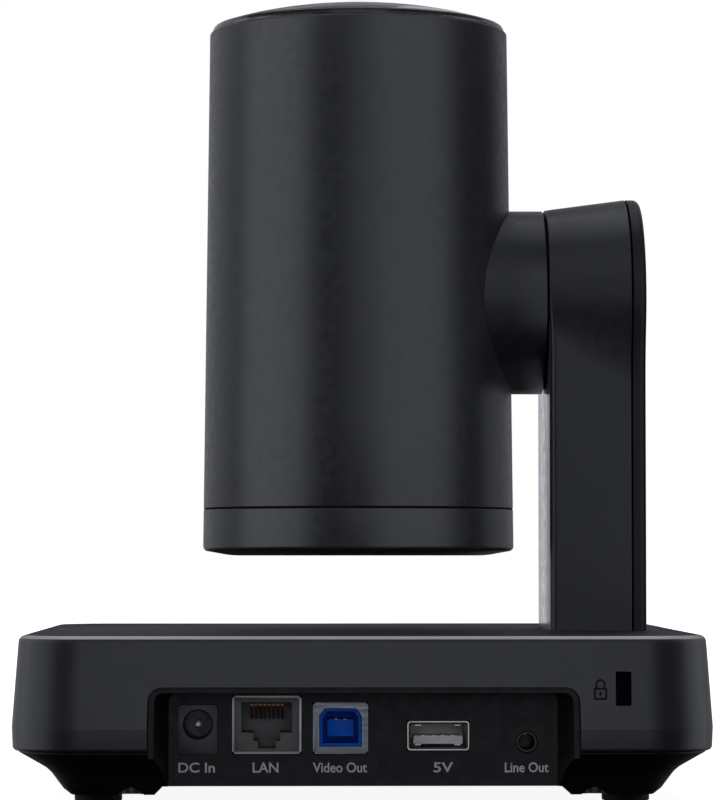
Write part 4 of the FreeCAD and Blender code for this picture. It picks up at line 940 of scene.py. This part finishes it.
IX, IZ = -54.35, 26.85
decal("lock_mark_body", [rrect(0, -0.9, 3.1, 2.8, 0.35), rrect(0, -0.9, 2.2, 1.9, 0.2)], IX, IZ, M_ICON, "base")
decal("lock_mark_keyhole", [rrect(0, -0.9, 0.5, 0.9, 0.2)], IX, IZ, M_ICON, "base")
sh_o = [(1.15, 0.52)] + arc(0, 1.3, 1.15, 0, 180, 16) + [(-1.15, 0.52), (-0.75, 0.52)] + arc(0, 1.3, 0.75, 180, 0, 16) + [(0.75, 0.52)]
decal("lock_mark_shackle", [sh_o], IX, IZ, M_ICON, "base")
# blind pocket behind the security slot
pk = [block("p", LOCK[0] - 4.2, LOCK[0] + 4.2, 77.0, 77.8, LOCK[1] - 6, LOCK[1] + 5.4, 0.2), block("p", LOCK[0] - 4.2, LOCK[0] - 2.2, 77.6, 78.6, LOCK[1] - 6, LOCK[1] + 5.4, 0.2),
      block("p", LOCK[0] + 2.2, LOCK[0] + 4.2, 77.6, 78.6, LOCK[1] - 6, LOCK[1] + 5.4, 0.2)]
extra(join("lock_pocket", pk, M_GAP), "base")


# ------------------------------------------------------------------ stage, camera, light
def facing(o, target):
    d = Vector(target) - o.location
    o.rotation_euler = d.to_track_quat("-Z", "Y").to_euler()


bm = bmesh.new()
bmesh.ops.create_grid(bm, x_segments=2, y_segments=2, size=10.0)
floor = make("studio_floor", bm)
floor.location.z = -0.0001
mf, nt, b = shader("floor_paper")
tc = nt.nodes.new("ShaderNodeTexCoord")
nz = noise(nt, tc.outputs["Object"], 3, 2)
nt.links.new(mixc(nt, nz, (0.86, 0.86, 0.86), (0.9, 0.9, 0.9)), b.inputs["Base Color"])
b.inputs["Roughness"].default_value = 0.9
b.inputs["Specular IOR Level"].default_value = 0.0
b.inputs["Emission Color"].default_value = (1, 1, 1, 1)
b.inputs["Emission Strength"].default_value = 0.92
geo = nt.nodes.new("ShaderNodeNewGeometry")     # seen from below the paper is clear
clear = nt.nodes.new("ShaderNodeBsdfTransparent")
mixf = nt.nodes.new("ShaderNodeMixShader")
outf = next(n for n in nt.nodes if n.type == "OUTPUT_MATERIAL")
nt.links.new(geo.outputs["Backfacing"], mixf.inputs[0])
nt.links.new(b.outputs[0], mixf.inputs[1])
nt.links.new(clear.outputs[0], mixf.inputs[2])
nt.links.new(mixf.outputs[0], outf.inputs[0])
floor.data.materials.append(mf)
floor.visible_diffuse = False
floor.visible_glossy = False
floor.visible_transmission = False


def softbox(name, loc, aim, w, h, power, color=(1, 1, 1)):
    li = bpy.data.lights.new(name, "AREA")
    li.shape = "RECTANGLE"
    li.size, li.size_y = w, h
    li.energy = power
    li.color = color
    o = bpy.data.objects.new(name, li)
    SC.collection.objects.link(o)
    o.location = loc
    facing(o, aim)
    o.visible_camera = False
    return o


MID = (0, 0, 0.1)
COOL = (0.965, 0.985, 1.04)


def around(az, dist, z=0.25):
    """Direction az degrees from the rear camera axis, positive toward -X."""
    a = math.radians(az)
    return (-dist * math.sin(a), dist * math.cos(a), z)


head_lit = [softbox("box_left", around(-68, 1.6), MID, 1.75, 2.4, 16.5, COOL), softbox("box_right", around(41, 1.6), MID, 1.9, 2.4, 12.8, COOL)]
base_lit = [softbox("base_left", around(-85, 1.6), MID, 1.9, 2.4, 12.0, COOL), softbox("base_right", around(99, 1.6), MID, 1.5, 2.4, 9.6, COOL),
            softbox("base_front", around(2, 1.6, 0.1), MID, 0.95, 1.0, 2.15, COOL)]
softbox("wall_left", around(-140, 1.9), MID, 2.4, 2.6, 8.6, COOL)
softbox("wall_right", around(152, 1.9), MID, 1.7, 2.6, 4.0, COOL)
softbox("top_box", (0.0, -0.35, 1.6), MID, 1.5, 1.3, 4.6, COOL)
softbox("front_fill", around(0, 1.6, 0.33), MID, 0.5, 0.36, 0.5, COOL)
softbox("front_high", (0.0, 1.17, 1.2), MID, 1.0, 1.2, 1.3, COOL)
softbox("arm_bounce", (-0.0463, 0.002, 0.078), (0.0, 0.002, 0.078), 0.036, 0.044, 0.00155, COOL)
far = softbox("far_fill", around(180, 2.0, 0.3), MID, 1.6, 1.4, 9.0, COOL)
far.visible_glossy = False
softbox("rear_strip", around(-177.3, 2.2, 0.11), MID, 0.26, 0.34, 0.24, COOL)

# the base stands nearer the low side boxes, the head nearer the tall ones
low = bpy.data.collections.new("lit_low")
tall = bpy.data.collections.new("lit_tall")
for o in SC.objects:
    if o.type == "MESH" and o is not floor:
        (low if body_of(o) == ["base"] else tall).objects.link(o)
for o in head_lit:
    o.light_linking.receiver_collection = tall
for o in base_lit:
    o.light_linking.receiver_collection = low

w = bpy.data.worlds.new("studio")
SC.world = w
w.use_nodes = True
nt = w.node_tree
nt.nodes.clear()
out = nt.nodes.new("ShaderNodeOutputWorld")
lp = nt.nodes.new("ShaderNodeLightPath")
b0 = nt.nodes.new("ShaderNodeBackground")
b1 = nt.nodes.new("ShaderNodeBackground")
mx = nt.nodes.new("ShaderNodeMixShader")
b0.inputs[0].default_value = (0.965, 0.985, 1.04, 1)
tw = nt.nodes.new("ShaderNodeTexCoord")
sx = nt.nodes.new("ShaderNodeSeparateXYZ")
nt.links.new(tw.outputs["Generated"], sx.inputs[0])
up = ramp(nt, sx.outputs["Z"], 0.004, 0.2, -0.05, 0.6)
nt.links.new(up, b0.inputs[1])
b1.inputs[0].default_value = (1, 1, 1, 1)
b1.inputs[1].default_value = 1.0
nt.links.new(lp.outputs["Is Camera Ray"], mx.inputs[0])
nt.links.new(b0.outputs[0], mx.inputs[1])
nt.links.new(b1.outputs[0], mx.inputs[2])
nt.links.new(mx.outputs[0], out.inputs[0])

cam = bpy.data.cameras.new("camera")
cam.lens = 162.2
cam.sensor_width = 36.0
cam.sensor_fit = "AUTO"
cam.clip_start = 0.01
cam.clip_end = 50
co = bpy.data.objects.new("camera", cam)
SC.collection.objects.link(co)
co.location = (0.015, 0.910, 0.0576)
co.rotation_euler = Vector((-64.1 / 3605, -1, 156 / 3605)).to_track_quat("-Z", "Y").to_euler()
SC.camera = co
SC.view_settings.view_transform = "Standard"
SC.view_settings.look = "None"
SC.view_settings.exposure = 0.0
SC.view_settings.gamma = 1.0
